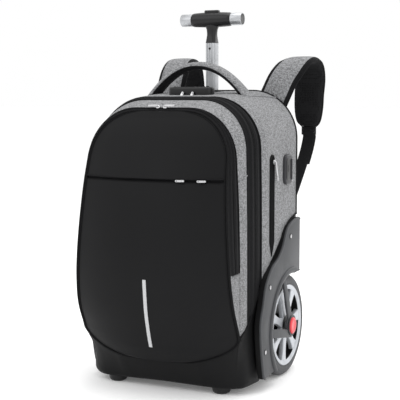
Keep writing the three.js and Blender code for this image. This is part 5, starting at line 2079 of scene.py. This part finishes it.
@dataclass
class TopLock:
    """Lock housing on the top, with the main zip's two sliders, and the front zip's sliders."""

    length: float = 82
    depth: float = 26
    top: float = 511
    y: float = -34

    def make(self) -> None:
        """Builds the housing and the sliders."""
        lock = Piece("top_lock", Slot.PLASTIC, (GLOSS, BLACK), nodes=("lock_housing",))
        floor = BAG.top_at(self.y) - 3.5
        housing = on_z(rounded(self.length, self.depth, 9), floor, 0, self.y)
        lock.add(slab(housing, Z_AXIS * (self.top - floor), 3.4, 4))
        lid = rounded(self.length * 0.5, self.depth * 0.62, 5)
        lid = on_z(lid, self.top - 0.2, -self.length * 0.16, self.y)
        lock.add(slab(lid, Z_AXIS * 0.9, 0.5))
        for k in range(3):
            wheel = Vector((16 + 8 * k, self.y - 3, self.top - 3.2))
            profile = [(0, -2.6), (4.6, -2.6), (5, -2), (5, 2), (4.6, 2.6), (0, 2.6)]
            lock.add(lathe(profile, wheel, X_AXIS, 24), 1)
        lock.make()
        y = self.y - self.depth / 2 - 2.4
        ahead, up = Vector((0, -1, 0.25)).normalized(), Vector((0, 0.25, 1)).normalized()
        middle = BAG.hide(7.5, 0.5)
        out = (BAG.hide(6.6, 0.5) - middle).normalized().cross(X_AXIS)
        out = out if out.z > 0 else -out
        for name, sign in (("right", 1), ("left", -1)):
            place = Vector((sign * 9.6, y, BAG.top_at(y) + 3))
            main_slider = Slider(place, up, ahead, tab=12, width=6)
            main_slider.make(f"main_slider_{name}", f"main_zip_pull_{name}")
            place = middle + X_AXIS * (sign * 6.5) + out * 1.6
            front_slider = Slider(place, X_AXIS * -sign, out, tab=19, width=7)
            front_slider.make(f"front_slider_{name}", f"front_zip_pull_{name}")


@dataclass
class SidePocket:
    """Zip of the side pocket with its long pull, and the charging port, on the right side."""

    y: float = -44
    low: float = 224
    high: float = 396
    width: float = 18
    port: tuple[float, float] = (24, 368)

    def make(self) -> None:
        """Builds the pocket's zip, its pull and the port."""
        half, middle = self.width / 2, (self.low + self.high) / 2
        length = self.high - self.low
        points = [(-half * 0.2, -length / 2), (half, -length * 0.36), (half, length / 2 - half)]
        turns = [math.pi * k / 12 for k in range(1, 12)]
        points += [(half * math.cos(t), length / 2 - half + half * math.sin(t)) for t in turns]
        points += [(-half, length / 2 - half), (-half, -length * 0.36)]
        pocket = Piece("side_zip", Slot.BLACK, (TAPE_CLOTH, PIPING), nodes=("side_pocket_zip",))
        face = BAG.half_width - 0.4
        outline = on_x(points, face - 4, self.y, middle)
        pocket.add(slab(outline, X_AXIS * 4.8, 0.6))
        rim = [Vector((face + 0.9, p.y, p.z)) for p in outline]
        pocket.add(sweep(rim, round_section(1.4), 8, loop=True), 1)
        heights = [mix(self.low + 14, self.high - 3, k / 220) for k in range(221)]
        pocket.add(coil([Vector((face + 0.8, self.y, z)) for z in heights], 1.7), 1)
        heights = [mix(self.low + 20, self.high - 8, k / 20) for k in range(21)]
        for side in (-4.2, 4.2):
            lip = [Vector((face + 0.7, self.y + side, z)) for z in heights]
            pocket.add(sweep(lip, round_section(1.6), 8))
        pocket.make()
        place = Vector((face + 1.4, self.y + self.width * 0.2, self.high - 12))
        slider = Slider(place, Vector((0, -0.29, 0.957)), X_AXIS, tab=34, width=9)
        slider.make("side_slider", "side_pocket_pull")
        self._port()

    def _port(self) -> None:
        """The charging port's housing, its flap and its socket."""
        y, z = self.port
        port = Piece("power_port", Slot.PLASTIC, (GLOSS, HOUSING, PLATED), nodes=("charging_port",))
        port.add(slab(on_x(rounded(36, 52, 11), 150.5, y, z), X_AXIS * 11, 3, 4), 1)
        port.add(slab(on_x(rounded(22, 40, 8), 161.2, y - 4.5, z + 1), X_AXIS * 0.8, 0.4))
        port.add(slab(on_x(rounded(6, 14, 1.6), 161.8, y - 5, z + 2), X_AXIS * 0.5, 0.2))
        ridge = [Vector((162.0, y + 9.5, mix(z - 18, z + 18, k / 12))) for k in range(13)]
        port.add(sweep(ridge, round_section(1.5), 8), 1)
        port.add(slab(on_x(rounded(3.4, 2.4, 0.8), 161.4, y + 12.5, z - 20), X_AXIS * 0.8, 0.2), 2)
        port.make()


@dataclass
class Studio:
    """Camera, lights and the pale floor."""

    eye: tuple[float, float, float] = (0.8155, -1.7236, 0.4946)
    target: tuple[float, float, float] = (0, 0.0155, 0.3098)
    lens: float = 96.71

    # Place, size and power of each soft light
    lamps = (
        ((-1.5, -2.3, 2.3), 2.2, 18),
        ((2.6, -1.3, 1.5), 2.0, 12),
        ((0.2, 0.3, 2.9), 2.0, 34),
        ((0.9, 2.6, 1.6), 1.8, 14),
    )

    def make(self) -> None:
        """Sets the stage."""
        scene = bpy.context.scene
        lens = bpy.data.cameras.new("camera")
        lens.lens = self.lens
        lens.sensor_fit = "HORIZONTAL"
        camera = bpy.data.objects.new("camera", lens)
        camera.location = self.eye
        camera.rotation_euler = self._facing(self.eye, self.target)
        scene.collection.objects.link(camera)
        scene.camera = camera
        for k, (place, size, power) in enumerate(self.lamps):
            light = bpy.data.lights.new(f"lamp_{k}", "AREA")
            light.size = size
            light.energy = power
            lamp = bpy.data.objects.new(f"lamp_{k}", light)
            lamp.location = place
            lamp.rotation_euler = self._facing(place, (0, 0, 0.3))
            scene.collection.objects.link(lamp)
        world = bpy.data.worlds.new("studio")
        world.use_nodes = True
        world.node_tree.nodes["Background"].inputs["Color"].default_value = (1, 1, 1, 1)
        world.node_tree.nodes["Background"].inputs["Strength"].default_value = 1.0
        scene.world = world
        scene.view_settings.view_transform = "Standard"
        self._floor()

    def _facing(self, start: Place, end: Place) -> Euler:
        """Turn of a camera or a light that looks from one place to another."""
        return (Vector(end) - Vector(start)).to_track_quat("-Z", "Y").to_euler()

    def _floor(self) -> None:
        """The pale floor."""
        bm = bmesh.new()
        bmesh.ops.create_grid(bm, x_segments=1, y_segments=1, size=40)
        data = bpy.data.meshes.new("floor")
        bm.to_mesh(data)
        bm.free()
        shade = Shade("floor paint")
        tone = shade.noise(shade.place(), 0.7, 2)
        shade.set(Base_Color=shade.blend(tone, (0.95, 0.95, 0.95), (0.97, 0.97, 0.97)), Roughness=0.9)
        shade.set(Emission_Color=(1, 1, 1), Emission_Strength=0.1, Specular_IOR_Level=0.1)
        data.materials.append(shade.material)
        floor = bpy.data.objects.new("floor", data)
        bpy.context.scene.collection.objects.link(floor)


def main() -> None:
    """Builds every sub-assembly in order."""
    logging.basicConfig(level=logging.INFO, format="%(name)s %(message)s")
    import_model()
    for assembly in (
        Studio(),
        BagBody(),
        ZipBands(),
        FrontGusset(),
        FrontPanel(),
        MouldedBase(),
        Fender(),
        Wheel(),
        TrolleyHandle(),
        CarryHandle(),
        ShoulderStraps(),
        BackPad(),
        TopLock(),
        SidePocket(),
    ):
        log.info("building %s", type(assembly).__name__)
        assembly.make()
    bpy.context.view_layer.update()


if __name__ == "__main__":
    main()
